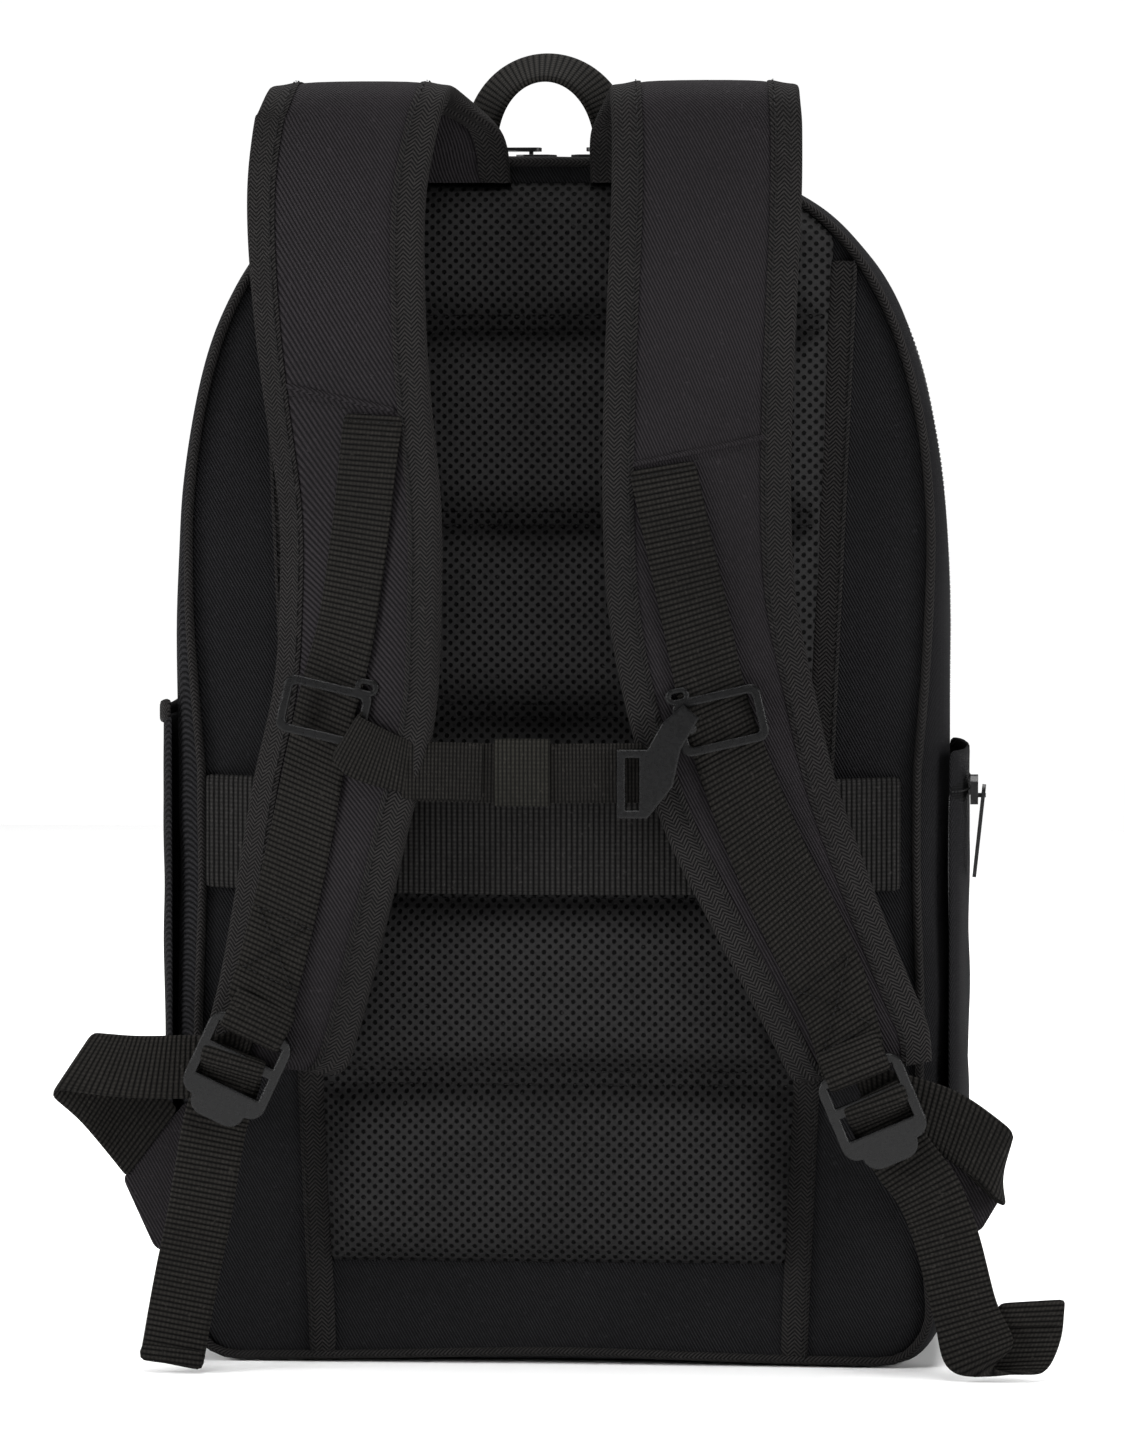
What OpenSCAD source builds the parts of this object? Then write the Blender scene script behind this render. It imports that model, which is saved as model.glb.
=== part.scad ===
// School backpack: padded back with air mesh, two shoulder straps with a sternum strap,
// a zipped main compartment whose front opens as a lid, a front pocket and two side pockets.
// Millimetres, +Z up, the wearer's side faces -Y, the panel's outer face is at y = 0.

/* [Body] */
// Width of the bag across the back panel
body_w = 300; // [260:1:360]
// Height of the bag from its base to the top of the arch
body_h = 466; // [400:1:560]
// Depth of the main compartment
main_depth = 155; // [140:1:200]
// Height at which the top arch begins on the sides
arch_z = 230; // [200:1:270]
// Height at which the front begins to slope back towards the top
slope_z = 300; // [299:1:320]
// Radius of the bottom corners
corner_r = 22; // [12:1:35]
// Thickness of the padded cloth walls
wall = 2.5; // [1.5:0.1:3]
// Thickness of the foam-backed back panel
panel_t = 5; // [4:0.5:8]
// Height of the base tub, where the lid is hinged
base_h = 60; // [50:1:80]
// Thickness of the foam pad in the base
base_pad_t = 6; // [3:0.5:10]
// Diameter of the piping cord round the panel
piping_d = 3; // [2:0.5:4]

/* [Main zip] */
// Distance of the zip line from the back panel
zip_y = 105; // [95:1:120]
// Width of each zip tape
zip_tape = 4; // [3:0.5:8]
// Gap between the two rows of teeth
zip_gap = 0.3; // [0.2:0.1:0.5]
// How far the teeth stand proud of the cloth
zip_proud = 0.8; // [0.5:0.1:1.5]
// Length of a zip slider
slider_l = 16; // [12:1:20]
// Width of a zip slider
slider_w = 11; // [8:1:14]
// Height of a zip slider
slider_h = 3; // [2.5:0.5:4]
// Gap between a slider and the teeth below it
slider_gap = 1.1; // [0.9:0.1:2]
// Length of a zip pull
pull_l = 36; // [24:1:44]
// Width of a zip pull
pull_w = 8.4; // [6:0.2:11]
// Thickness of a zip pull
pull_t = 1.4; // [1:0.1:2]

/* [Back pads] */
// How far the pads stand out from the panel
pad_t = 12; // [9:0.5:14]
// Thickness of the air mesh cover
mesh_t = 1.5; // [1:0.1:2]
// Width of the mesh at its top
mesh_top_w = 212; // [180:1:216]
// Width of the mesh at its bottom
mesh_bottom_w = 176; // [150:1:200]
// Height of the bottom edge of the mesh
mesh_z0 = 40; // [30:1:50]
// Height of the top edge of the mesh
mesh_z1 = 454.5; // [400:0.5:455]
// Width of the herringbone tape beside the mesh
tape_w = 10.5; // [8:0.5:13]
// Height of the trolley band
band_h = 42; // [30:1:50]
// Height of the lower edge of the trolley band
band_z = 185; // [184:1:190]
// Length of the trolley band across the panel
band_l = 270; // [250:1:280]

/* [Pockets] */
// Depth of the front pocket
front_depth = 35; // [25:1:50]
// Width of the front pocket
front_w = 236; // [200:1:250]
// Height of the front pocket's lower edge
front_z0 = 66; // [65:1:90]
// Height of the front pocket's upper edge
front_z1 = 292; // [260:1:296]
// Height of the front pocket's zip
front_zip_z = 262; // [220:1:270]
// Length of the front pocket's zip
front_zip_l = 196; // [160:1:210]
// Thickness of the pocket cloth
pocket_t = 1.6; // [1:0.1:2.5]
// How far the bottle pocket stands out from the side
bottle_out = 7.2; // [6:0.1:12]
// Height of the bottle pocket's mouth
bottle_z1 = 257; // [200:1:260]
// Height of the hem round the bottle pocket's mouth
hem_h = 6; // [4:0.5:10]
// How far the zipped side pocket stands out from the side
side_out = 8; // [7:0.5:12]
// Height of the zipped side pocket's upper edge
side_z1 = 238; // [200:1:250]
// Height of the zip on the side pocket
side_zip_z = 222; // [180:1:226]
// Height of the lower edges of both side pockets
side_z0 = 20; // [10:1:40]

/* [Shoulder straps] */
// Width of the padded straps
strap_w = 69; // [60:1:76]
// Width of a padded strap at its lower end
strap_end_w = 56; // [50:1:66]
// Thickness of the padded straps
strap_t = 9; // [7:0.5:10]
// Height of the lower ends of the padded straps
strap_z0 = 117; // [110:1:130]
// Height of the middle of the arch over the bag's top
strap_arch_z = 475; // [470:1:482]
// Radius of that arch, to the middle of the strap
strap_arch_r = 13.5; // [12:0.5:16]
// Thickness of the binding on the straps' edges
binding_t = 1.2; // [0.8:0.1:1.6]
// Width of the strap webbing
webbing_w = 25; // [20:1:30]
// Thickness of the strap webbing
webbing_t = 1.5; // [1.2:0.1:2]

/* [Strap hardware] */
// Height of a sternum ring
ring_h = 22; // [20:1:28]
// Width of the bars of a ring
ring_bar = 3.2; // [2:0.1:3.6]
// Thickness of a ring
ring_t = 3; // [2.5:0.1:4]
// Height of a ladder lock
lock_h = 40; // [36:1:44]
// Thickness of a ladder lock
lock_t = 5; // [4:0.5:6]
// Width of the sternum webbing
sternum_w = 23; // [20:1:25]
// Thickness of the sternum webbing
sternum_t = 1.4; // [1:0.1:2]
// Gap between pieces that slide over each other
slide_gap = 0.4; // [0.3:0.1:0.8]

/* [Grab handle] */
// Span of the handle between its ends
handle_span = 62; // [56:1:100]
// Height of the handle's arch
handle_h = 38; // [34:1:50]
// Width of the handle's webbing
handle_w = 25; // [20:1:25]
// Thickness of the handle's webbing
handle_t = 2.6; // [2:0.1:4]
// Lean of the handle towards the wearer, in degrees
handle_lean = 20; // [10:1:22]

/* [Hidden] */

half_w = body_w / 2;
far = 600;
// Exponents of the rounded outlines, seen from the back and from the side
arch_power = 3.4;
slope_power = 2.6;
arch_steps = 14;
small_r = 3;
// Gap between the lid and the tub below it
lid_gap = 0.4;

// Heights of the sewn channels between the back pads
channels = [401.6, 326.5, 252.6, 183, 111];
channel_w = 8;

// Sideways place of each strap's middle at a height: [height, place]
left_path = [[117, -108], [144, -100.5], [181, -92.5], [219, -85], [256, -76.5], [294, -74],
    [331, -74], [369, -78], [406, -81], [451, -81.5], [487, -76]];
right_path = [[117, 120], [144, 107.5], [181, 90.5], [219, 74.5], [256, 64], [294, 56.5],
    [331, 54.5], [369, 55], [406, 56.5], [451, 58.5], [487, 58.5]];
// The same for the sewn roots behind the arch, and for the webbing on the straps
left_root_path = [[456, -52], [475, -56], [492, -74]];
right_root_path = [[456, 47], [475, 49], [492, 57]];
left_webbing_path = [[136, -113], [149, -109], [199, -96.5], [254, -85], [288, -76], [368, -64]];
right_webbing_path = [[121, 114.5], [149, 106], [199, 82], [251, 62.5], [288, 54], [350, 40.5]];

// The straps hang nearer the panel below this height
strap_bend_z = 300;
strap_bend_y = 11;
strap_front_y = -(2 * strap_arch_r + strap_t / 2 + 3.5) + strap_bend_y;
webbing_y = strap_front_y - strap_t / 2;
ring_y = webbing_y - webbing_t - slide_gap;
sternum_y = ring_y - ring_t - 1.2;
lock_y = webbing_y - webbing_t - 1;

// Widths of the rings and ladder locks, to suit the webbing that runs through them
ring_w = webbing_w + 2 * ring_bar + 2.6;
lock_w = webbing_w + 9;

// Middles and tilts of the rings and ladder locks
left_ring_at = [-87, 254];
right_ring_at = [64, 251];
ring_tilt = 13;
left_lock_at = [-121.6, 116];
right_lock_at = [123, 102];
left_lock_tilt = 25;
right_lock_tilt = -23;

// Middle height of the sternum strap and the places along it
sternum_z = 231;
sternum_x0 = -76;
sternum_x1 = 36;
keeper_x0 = -21.7;
keeper_x1 = -0.4;

handle_x = -5;
handle_y = 13.5;
handle_z = body_h + 1.8;

// ---- Shared shapes ----

// Extrudes an outline of [x, z] points from y0 to y1
module prism_y(y0, y1, points) {
    translate([0, y1, 0]) rotate([90, 0, 0]) linear_extrude(y1 - y0) polygon(points);
}

// Extrudes an outline of [y, z] points from x0 to x1
module prism_x(x0, x1, points) {
    translate([x0, 0, 0]) rotate([90, 0, 90]) linear_extrude(x1 - x0) polygon(points);
}

module box(lo, hi) {
    translate(lo) cube(hi - lo);
}

function arc(x, z, r, a0, a1, n) =
    [for (k = [0 : n]) let (a = a0 + (a1 - a0) * k / n) [x + r * cos(a), z + r * sin(a)]];

// A rounded quarter from [w, 0] to [0, h], squarer than an ellipse
function crown(x, z, w, h, power) =
    [for (k = [0 : arch_steps]) let (a = 90 * k / arch_steps)
        [x + w * pow(cos(a), 2 / power), z + h * pow(sin(a), 2 / power)]];

function mirrored(half) =
    concat(half, [for (k = [len(half) - 2 : -1 : 0]) [-half[k][0], half[k][1]]]);

function rounded(w, h, r) = concat(
    arc(w / 2 - r, h / 2 - r, r, 0, 90, 5), arc(-w / 2 + r, h / 2 - r, r, 90, 180, 5),
    arc(-w / 2 + r, -h / 2 + r, r, 180, 270, 5), arc(w / 2 - r, -h / 2 + r, r, 270, 360, 5));

// ---- Body shell ----

// The bag seen from the back, drawn in by an inset
function bag_outline(inset) = let (r = max(corner_r - inset, small_r)) mirrored(concat(
    [[0, inset]],
    arc(half_w - inset - r, inset + r, r, -90, 0, 6),
    crown(0, arch_z, half_w - inset, body_h - arch_z - inset, arch_power)));

// The bag seen from the side, open towards the panel when it is drawn in
function side_outline(inset) = concat(
    [[-1, inset]],
    arc(main_depth - corner_r, corner_r, corner_r - inset, -90, 0, 6),
    crown(zip_y, slope_z, main_depth - zip_y - inset, body_h - slope_z - inset, slope_power),
    [[-1, body_h - inset]]);

module bag_form(inset) {
    intersection() {
        prism_y(-0.5, main_depth + 5, bag_outline(inset));
        prism_x(-half_w - 5, half_w + 5, side_outline(inset));
    }
}

module bag_wall(outer, y0, y1, z0, z1) {
    intersection() {
        difference() {
            bag_form(-outer);
            bag_form(wall);
        }
        box([-far, y0, z0], [far, y1, z1]);
    }
}

module back_panel() {
    color("#25252a") prism_y(0, panel_t, bag_outline(0));
}

module frame_sheet() {
    color("#d8d8d2") prism_y(panel_t, panel_t + 1.5, bag_outline(28));
}

module rear_piping() {
    color("#303036") intersection() {
        difference() {
            prism_y(-piping_d + 0.5, 0, bag_outline(-piping_d / 2));
            prism_y(-piping_d, 1, bag_outline(piping_d / 2));
        }
        box([-far, -far, 0], [far, far, far]);
    }
}

module rear_gusset() {
    color("#232328") bag_wall(0, panel_t, zip_y - zip_tape, base_h, far);
}

module base_tub() {
    color("#202024") bag_wall(0, panel_t, main_depth, -1, base_h);
}

module base_pad() {
    pad_half = half_w - corner_r - 2;
    color("#3a3a3e") box([-pad_half, panel_t + 2, wall],
        [pad_half, main_depth - corner_r, wall + base_pad_t]);
}

module front_shell() {
    color("#26262b") bag_wall(0, zip_y + zip_tape, main_depth, base_h + lid_gap, far);
}

module main_zip_rear() {
    color("#1a1a1d") bag_wall(zip_proud, zip_y - zip_tape, zip_y - zip_gap / 2, base_h, far);
}

module main_zip_front() {
    color("#1a1a1d") bag_wall(zip_proud, zip_y + zip_gap / 2, zip_y + zip_tape,
        base_h + lid_gap, far);
}

// ---- Inside the main compartment ----

divider_y = panel_t + 29;
divider_t = 5;
divider_z1 = 330;

module laptop_divider() {
    color("#3c3c42") box([-half_w + 20, divider_y, wall + base_pad_t],
        [half_w - 20, divider_y + divider_t, divider_z1]);
}

// A tab from the frame sheet over the divider's top edge
module laptop_tab() {
    y0 = panel_t + 1.5;
    y1 = divider_y + divider_t;
    top = divider_z1 + 14;
    color("#2c2c30") prism_x(-15, 15, [[y0, top - 50], [y0 + 1.5, top - 50], [y0 + 1.5, top - 2],
        [y1, top - 2], [y1, divider_z1 - 22], [y1 + 1.5, divider_z1 - 22], [y1 + 1.5, top],
        [y0, top]]);
}

module organiser_panel() {
    back = main_depth - wall;
    front = back - 7.5;
    color("#34343a") difference() {
        box([-half_w + 30, front, base_h + 14], [half_w - 30, back, base_h + 174]);
        box([-half_w + 32, front + 2, base_h + 16], [half_w - 32, far, far]);
    }
}

// ---- Back pads and band ----

function mesh_half(z) = lookup(z, [[mesh_z0, mesh_bottom_w / 2], [mesh_z1, mesh_top_w / 2]]);

// Half the width of the bag at a height of its arch
function arch_half(z) = z <= arch_z ? half_w
    : half_w * pow(1 - pow((z - arch_z) / (body_h - arch_z), arch_power), 1 / arch_power);

// The mesh keeps inside the arch
arch_margin = 9;
mesh_heights = [mesh_z0, mesh_z1 - 34, mesh_z1 - 25, mesh_z1 - 17, mesh_z1 - 10, mesh_z1 - 5,
    mesh_z1 - 1.5, mesh_z1];
mesh_outline = mirrored(concat([[0, mesh_z0]],
    [for (z = mesh_heights) [min(mesh_half(z), arch_half(z) - arch_margin), z]], [[0, mesh_z1]]));

// Bottom and top of each pad: the zone behind the trolley band has none
pad_zones = [[mesh_z0, channels[4]], [channels[4], channels[3]], [channels[2], channels[1]],
    [channels[1], channels[0]], [channels[0], mesh_z1]];

// A pad's section between two channels, [y, z], at a depth
function pad_section(zone, depth) = let (z0 = zone[0] + channel_w / 2, z1 = zone[1] - channel_w / 2)
    [[0, z0], [-depth + 3, z0], [-depth, z0 + 5], [-depth, z1 - 5], [-depth + 3, z1], [0, z1]];

module mesh_field(inset) {
    prism_y(-pad_t - 1, 0, [for (p = mesh_outline) [p[0] - sign(p[0]) * inset, p[1]]]);
}

module back_pads() {
    color("#4a4a50") intersection() {
        mesh_field(4);
        for (zone = pad_zones) prism_x(-far, far, pad_section(zone + [mesh_t, -mesh_t],
            pad_t - mesh_t));
    }
}

module air_mesh() {
    color("#2e2e32") difference() {
        intersection() {
            mesh_field(0);
            union() {
                for (zone = pad_zones) prism_x(-far, far, pad_section(zone, pad_t));
                box([-far, -mesh_t, mesh_z0], [far, 0, mesh_z1]);
            }
        }
        intersection() {
            mesh_field(4);
            for (zone = pad_zones) prism_x(-far, far, concat(pad_section(zone
                + [mesh_t, -mesh_t], pad_t - mesh_t), [[1, zone[1] - mesh_t - channel_w / 2],
                [1, zone[0] + mesh_t + channel_w / 2]]));
        }
    }
}

module trolley_band() {
    half = band_l / 2;
    flat = mesh_half(band_z) - 2;
    out = pad_t - 1;
    edge = [[half, -1.7], [flat + tape_w + 7, -3.2], [flat, -out], [0, -out]];
    inner = [[0, -out + 1.5], [flat, -out + 1.5], [flat + tape_w + 7, -1.6], [half - 9, 0],
        [half, 0]];
    right = concat(edge, inner);
    color("#2b2b28") translate([0, 0, band_z]) linear_extrude(band_h) union() {
        polygon(right);
        mirror([1, 0]) polygon(right);
    }
}

module panel_tape(side) {
    z0 = 4;
    edge0 = mesh_half(mesh_z0);
    edge1 = mesh_half(mesh_z1);
    z1 = mesh_z1 - 31;
    points = [[edge0, z0], [edge0 + tape_w, z0], [edge0 + tape_w, mesh_z0],
        [edge1 + tape_w, z1], [edge1 + 0.5, z1], [edge0 + 0.5, mesh_z0]];
    color("#38383c") prism_y(-1.2, 0, [for (p = points) [side * p[0], p[1]]]);
}

// ---- Side and front pockets ----

pocket_y0 = panel_t + 1;
pocket_y1 = zip_y - zip_tape - 1;

// Section of a pocket that bulges from the side by out, [x, y] on the right
function bulge(out, inset) = [[half_w - 0.01, pocket_y0 + inset], [half_w + out * 0.8 - inset,
    pocket_y0 + 8 + inset], [half_w + out - inset, pocket_y0 + 22], [half_w + out - inset,
    pocket_y1 - 22], [half_w + out * 0.8 - inset, pocket_y1 - 8 - inset],
    [half_w - 0.01, pocket_y1 - inset]];

module bottle_pocket() {
    color("#222227") mirror([1, 0, 0]) difference() {
        translate([0, 0, side_z0]) linear_extrude(bottle_z1 - hem_h - side_z0)
            polygon(bulge(bottle_out, 0));
        translate([0, 0, side_z0 + 2]) linear_extrude(far) polygon(bulge(bottle_out, pocket_t));
    }
}

module bottle_pocket_hem() {
    color("#2a2a2f") mirror([1, 0, 0]) translate([0, 0, bottle_z1 - hem_h])
        linear_extrude(hem_h) difference() {
            polygon(bulge(bottle_out + 0.5, 0));
            polygon(bulge(bottle_out, pocket_t));
        }
}

side_zip_y0 = pocket_y0 + 4;
side_zip_y1 = pocket_y1 - 8;

module side_pocket() {
    color("#222227") difference() {
        translate([0, 0, side_z0]) linear_extrude(side_z1 - side_z0) polygon(bulge(side_out, 0));
        translate([0, 0, side_z0 + 2]) linear_extrude(side_z1 - side_z0 - 4)
            polygon(bulge(side_out, pocket_t));
        box([half_w, side_zip_y0, side_zip_z - zip_tape], [far, side_zip_y1,
            side_zip_z + zip_tape]);
    }
}

module side_pocket_zip() {
    color("#1a1a1d") intersection() {
        difference() {
            linear_extrude(far) polygon(bulge(side_out + 0.3, 0));
            linear_extrude(far) polygon(bulge(side_out, pocket_t));
        }
        box([half_w, side_zip_y0, side_zip_z - zip_tape], [far, side_zip_y1,
            side_zip_z + zip_tape]);
    }
}

front_y = main_depth + front_depth;

function pocket_front(inset) = mirrored(concat([[0, front_z0 + inset]],
    arc(front_w / 2 - 18, front_z0 + 18, 18 - inset, -90, 0, 5),
    arc(front_w / 2 - 45, front_z1 - 45, 45 - inset, 0, 90, 8), [[0, front_z1 - inset]]));

module front_pocket() {
    color("#26262b") difference() {
        prism_y(main_depth, front_y, pocket_front(0));
        prism_y(main_depth - 1, front_y - 2, pocket_front(pocket_t));
        box([-front_zip_l / 2, front_y - 5, front_zip_z - zip_tape], [front_zip_l / 2, far,
            front_zip_z + zip_tape]);
    }
}

module front_pocket_zip() {
    color("#1a1a1d") box([-front_zip_l / 2, front_y - 2, front_zip_z - zip_tape],
        [front_zip_l / 2, front_y + 0.3, front_zip_z + zip_tape]);
}

// ---- Zip sliders and pulls ----

slider_top_z = body_h + zip_proud + slider_gap;
left_slider_x = -16;
right_slider_x = 6;

pull_gap = 2.2;
pull_up = slider_h + pull_gap;

// A slider lying flat with its nose towards +X, its underside at z = 0, and the stud that
// holds the pull's eye, turned to suit the pull
module slider(stud_turn) {
    linear_extrude(slider_h) polygon([[-slider_l / 2, -slider_w / 2 + 2],
        [-slider_l / 2 + 3, -slider_w / 2], [slider_l / 2 - 3, -slider_w / 2],
        [slider_l / 2, -2], [slider_l / 2, 2], [slider_l / 2 - 3, slider_w / 2],
        [-slider_l / 2 + 3, slider_w / 2], [-slider_l / 2, slider_w / 2 - 2]]);
    rotate([0, 0, stud_turn]) translate([-3, -1, slider_h - 0.5])
        cube([1.6, 2, pull_gap + 1.3]);
}

// How far a pull reaches past its pivot
eye_end = 1.9;

// A pull that reaches from its pivot at the origin along -X, middle of its thickness at z = 0
module pull() {
    translate([-pull_l / 2 + eye_end, 0, -pull_t / 2]) linear_extrude(pull_t) difference() {
        polygon(rounded(pull_l, pull_w, 2.4));
        translate([pull_l / 2 - 4, 0]) polygon(rounded(3.4, 4.2, 1.2));
        translate([-pull_l / 6, 0]) polygon(rounded(13.5, 2.2, 1));
    }
}

module main_slider(x, turn) {
    color("#55555a") translate([x, zip_y, slider_top_z]) rotate([0, 0, turn]) slider(0);
}

module main_pull(x, turn) {
    color("#505055") translate([x, zip_y, slider_top_z + pull_up]) rotate([0, 0, turn]) pull();
}

front_slider_x = -front_zip_l / 2 + slider_l / 2 + 2;
front_slider_y = front_y + slider_gap;

module front_slider() {
    color("#55555a") translate([front_slider_x, front_slider_y, front_zip_z])
        rotate([-90, 0, 0]) slider(-90);
}

module front_pull() {
    color("#505055") translate([front_slider_x, front_slider_y + pull_up, front_zip_z])
        rotate([-90, 0, 0]) rotate([0, 0, -90]) pull();
}

side_slider_y = side_zip_y0 + slider_l / 2;
side_slider_x = half_w + side_out + 0.4;

module side_slider() {
    color("#55555a") translate([side_slider_x, side_slider_y, side_zip_z])
        rotate([90, 0, 90]) slider(90);
}

// The side pull's tip rests nearer the pocket than its eye
side_pull_lean = 6;

module side_pull() {
    color("#505055") translate([side_slider_x + pull_up, side_slider_y, side_zip_z])
        rotate([0, side_pull_lean - 90, 0]) pull();
}

// ---- Shoulder straps ----

arch_y = -3.5 - strap_t / 2 - strap_arch_r;

function ease(t) = t <= 0 ? 0 : t >= 1 ? 1 : t * t * (3 - 2 * t);

// Depth of the middle of the hanging strap at a height
function strap_mid(z) =
    strap_front_y - strap_bend_y * ease((z - strap_bend_z) / (strap_arch_z - strap_bend_z));

function strap_heights(z0, z1) = let (n = ceil((z1 - z0) / 18))
    [for (k = [0 : n]) z0 + (z1 - z0) * k / n];

function strap_half(z, inset) =
    lookup(z, [[strap_z0, strap_end_w / 2], [260, strap_w / 2], [500, strap_w / 2]]) - inset;

// Outline of a strap along a path of its middle, [x, z]
function strap_outline(path, z0, z1, inset) = let (zs = strap_heights(z0 + inset, z1))
    concat([for (z = zs) [lookup(z, path) + strap_half(z, inset), z]],
        [for (k = [len(zs) - 1 : -1 : 0]) [lookup(zs[k], path) - strap_half(zs[k], inset), zs[k]]]);

// The hanging part and the front of the arch, seen from the side
strap_section = let (zs = strap_heights(strap_z0 - 5, strap_arch_z)) concat(
    [for (z = zs) [strap_mid(z) - strap_t / 2, z]],
    arc(arch_y, strap_arch_z, strap_arch_r + strap_t / 2, 180, 90, 6),
    arc(arch_y, strap_arch_z, strap_arch_r - strap_t / 2, 90, 180, 4),
    [for (k = [len(zs) - 1 : -1 : 0]) [strap_mid(zs[k]) + strap_t / 2, zs[k]]]);

module shoulder_pad(path) {
    color("#2c2a2d") intersection() {
        prism_x(-far, far, strap_section);
        prism_y(-far, far, strap_outline(path, strap_z0, far, binding_t));
    }
}

module strap_binding(path) {
    color("#39393c") intersection() {
        prism_x(-far, far, strap_section);
        difference() {
            prism_y(-far, far, strap_outline(path, strap_z0, far, 0));
            prism_y(-far - 1, far + 1, strap_outline(path, strap_z0, far, binding_t));
        }
    }
}

// The rear of the arch stops short of the front, which turns about the arch's middle
root_end_angle = 68;
root_foot_half = 21;
root_z0 = 455.2;
root_foot_h = 2.6;

module strap_root(path) {
    color("#2c2a2d") union() {
        intersection() {
            prism_x(-far, far, concat(
                [[arch_y + strap_arch_r - strap_t / 2, root_z0],
                    [arch_y + strap_arch_r + strap_t / 2, root_z0]],
                arc(arch_y, strap_arch_z, strap_arch_r + strap_t / 2, 0, root_end_angle, 5),
                arc(arch_y, strap_arch_z, strap_arch_r - strap_t / 2, root_end_angle, 0, 4)));
            prism_y(-far, far, strap_outline(path, root_z0, far, 0));
        }
        box([lookup(root_z0, path) - root_foot_half, arch_y + strap_arch_r, root_z0],
            [lookup(root_z0, path) + root_foot_half, 0, root_z0 + root_foot_h]);
    }
}

function webbing_outline(path, w) = let (n = len(path) - 1)
    concat([for (p = path) [p[1] + w / 2, p[0]]], [for (k = [n : -1 : 0]) [path[k][1] - w / 2,
        path[k][0]]]);

// Puts a flat piece at a place on the strap, tilted, its face at y = 0 and reaching to -Y
module place(at, tilt, y) {
    translate([at[0], y, at[1]]) rotate([0, tilt, 0]) children();
}

// Heights of a ladder lock's bars, from its middle
lock_top = lock_h / 2;
lock_bar = 4;
lock_mid_z0 = 3.5;
lock_slot_z0 = -6;

// Room in the loop round the lock's top bar, above and below the bar
loop_room = 1.1;

module strap_webbing(path, lock_at, tilt) {
    zs = strap_heights(strap_z0 - 5, strap_arch_z);
    color("#2b2a27") union() {
        // The run sewn to the strap follows its curve
        intersection() {
            prism_x(-far, far, concat(
                [for (z = zs) [strap_mid(z) - strap_t / 2 - webbing_t, z]],
                [for (k = [len(zs) - 1 : -1 : 0]) [strap_mid(zs[k]) - strap_t / 2, zs[k]]]));
            prism_y(-far, far, webbing_outline(path, webbing_w));
        }
        // The loop round the lock's top bar
        place(lock_at, tilt, webbing_y - webbing_t + 0.4) difference() {
            box([-webbing_w / 2, -lock_t - 3.4, lock_top - lock_bar - loop_room - webbing_t],
                [webbing_w / 2, 0, lock_top + loop_room + webbing_t + 1]);
            box([-webbing_w, -lock_t - 2, lock_top - lock_bar - loop_room],
                [webbing_w, -0.8, lock_top + loop_room]);
        }
    }
}

module strap_ring(at, tilt, inner) {
    curl_x = inner * (ring_w / 2 - 3);
    color("#3c3c40") place(at, tilt, ring_y) {
        difference() {
            prism_y(-ring_t, 0, rounded(ring_w, ring_h, 4));
            prism_y(-ring_t - 1, 1, rounded(ring_w - 2 * ring_bar, ring_h - 2 * ring_bar, 2));
        }
        translate([curl_x, 0, ring_h / 2 + 1.5]) difference() {
            prism_y(-ring_t, 0, rounded(9, 6, 2.8));
            prism_y(-ring_t - 1, 1, rounded(5, 2.4, 1.1));
        }
    }
}

module ladder_lock(at, tilt) {
    slot_w = webbing_w + 1.6;
    color("#3c3c40") place(at, tilt, lock_y) difference() {
        union() {
            translate([0, 0, 3]) prism_y(-lock_t, 0, rounded(lock_w, lock_h - 6, 6));
            translate([0, 0, -lock_h / 2 + 8]) prism_y(-lock_t, 0, rounded(lock_w - 12, 16, 6));
        }
        box([-slot_w / 2, -far, lock_mid_z0 + lock_bar], [slot_w / 2, far, lock_top - lock_bar]);
        box([-slot_w / 2, -far, lock_slot_z0], [slot_w / 2, far, lock_mid_z0]);
    }
}

tail_y = lock_y + slide_gap + webbing_t;
tail_z0 = 2;

// Middle of each tail: [height, place], from its end up to the lock's bar
left_tail_path = [[tail_z0, -146], [32, -141], [55, -136], [85, -129.5], [104, -126],
    [121.4, -118.3]];
right_tail_path = [[tail_z0, 168], [26, 157], [53, 151], [69, 145], [84, 134], [107.3, 120.7]];

module webbing_tail_left() {
    color("#2b2a27") prism_y(tail_y - webbing_t, tail_y, webbing_outline(left_tail_path,
        webbing_w));
}

// The right tail is folded where it meets the floor, and its end leans up behind the fold
module webbing_tail_right() {
    color("#2b2a27") union() {
        prism_y(tail_y - webbing_t, tail_y, webbing_outline(right_tail_path, webbing_w));
        prism_y(tail_y, tail_y + 4, [[157, tail_z0], [188, tail_z0], [188, tail_z0 + 1.5],
            [157, tail_z0 + 1.5]]);
        prism_y(tail_y + 4, tail_y + 4 + webbing_t, [[157, tail_z0], [188, tail_z0], [195, 30],
            [171, 29]]);
    }
}

// ---- Lower anchors and webbing loops ----

anchor_y = -piping_d + 0.4;

left_anchor = [[-146, 40], [-146, 100], [-168.6, 71.4], [-157, 42]];
right_anchor = [[146, 45], [164.6, 55], [173, 66], [168, 74], [146, 88]];

module lower_anchor(points) {
    color("#2c2a2d") prism_y(anchor_y - 1.4, anchor_y, points);
}

// How far the loops lie behind the strap webbing's face
loop_drop = 2.4;

// A webbing run from the anchor's edge out to the fold, then flat across to the lock
// Two corners at the anchor, two at the fold and two at the lock
left_loop = [[-167, 71], [-148, 96], [-177.5, 130], [-193.5, 107], [-137, 105], [-137, 128.4]];
right_loop = [[168, 66], [150, 82], [175, 95.6],
    [168.5, 72.5], [141, 88], [141, 115]];

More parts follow.
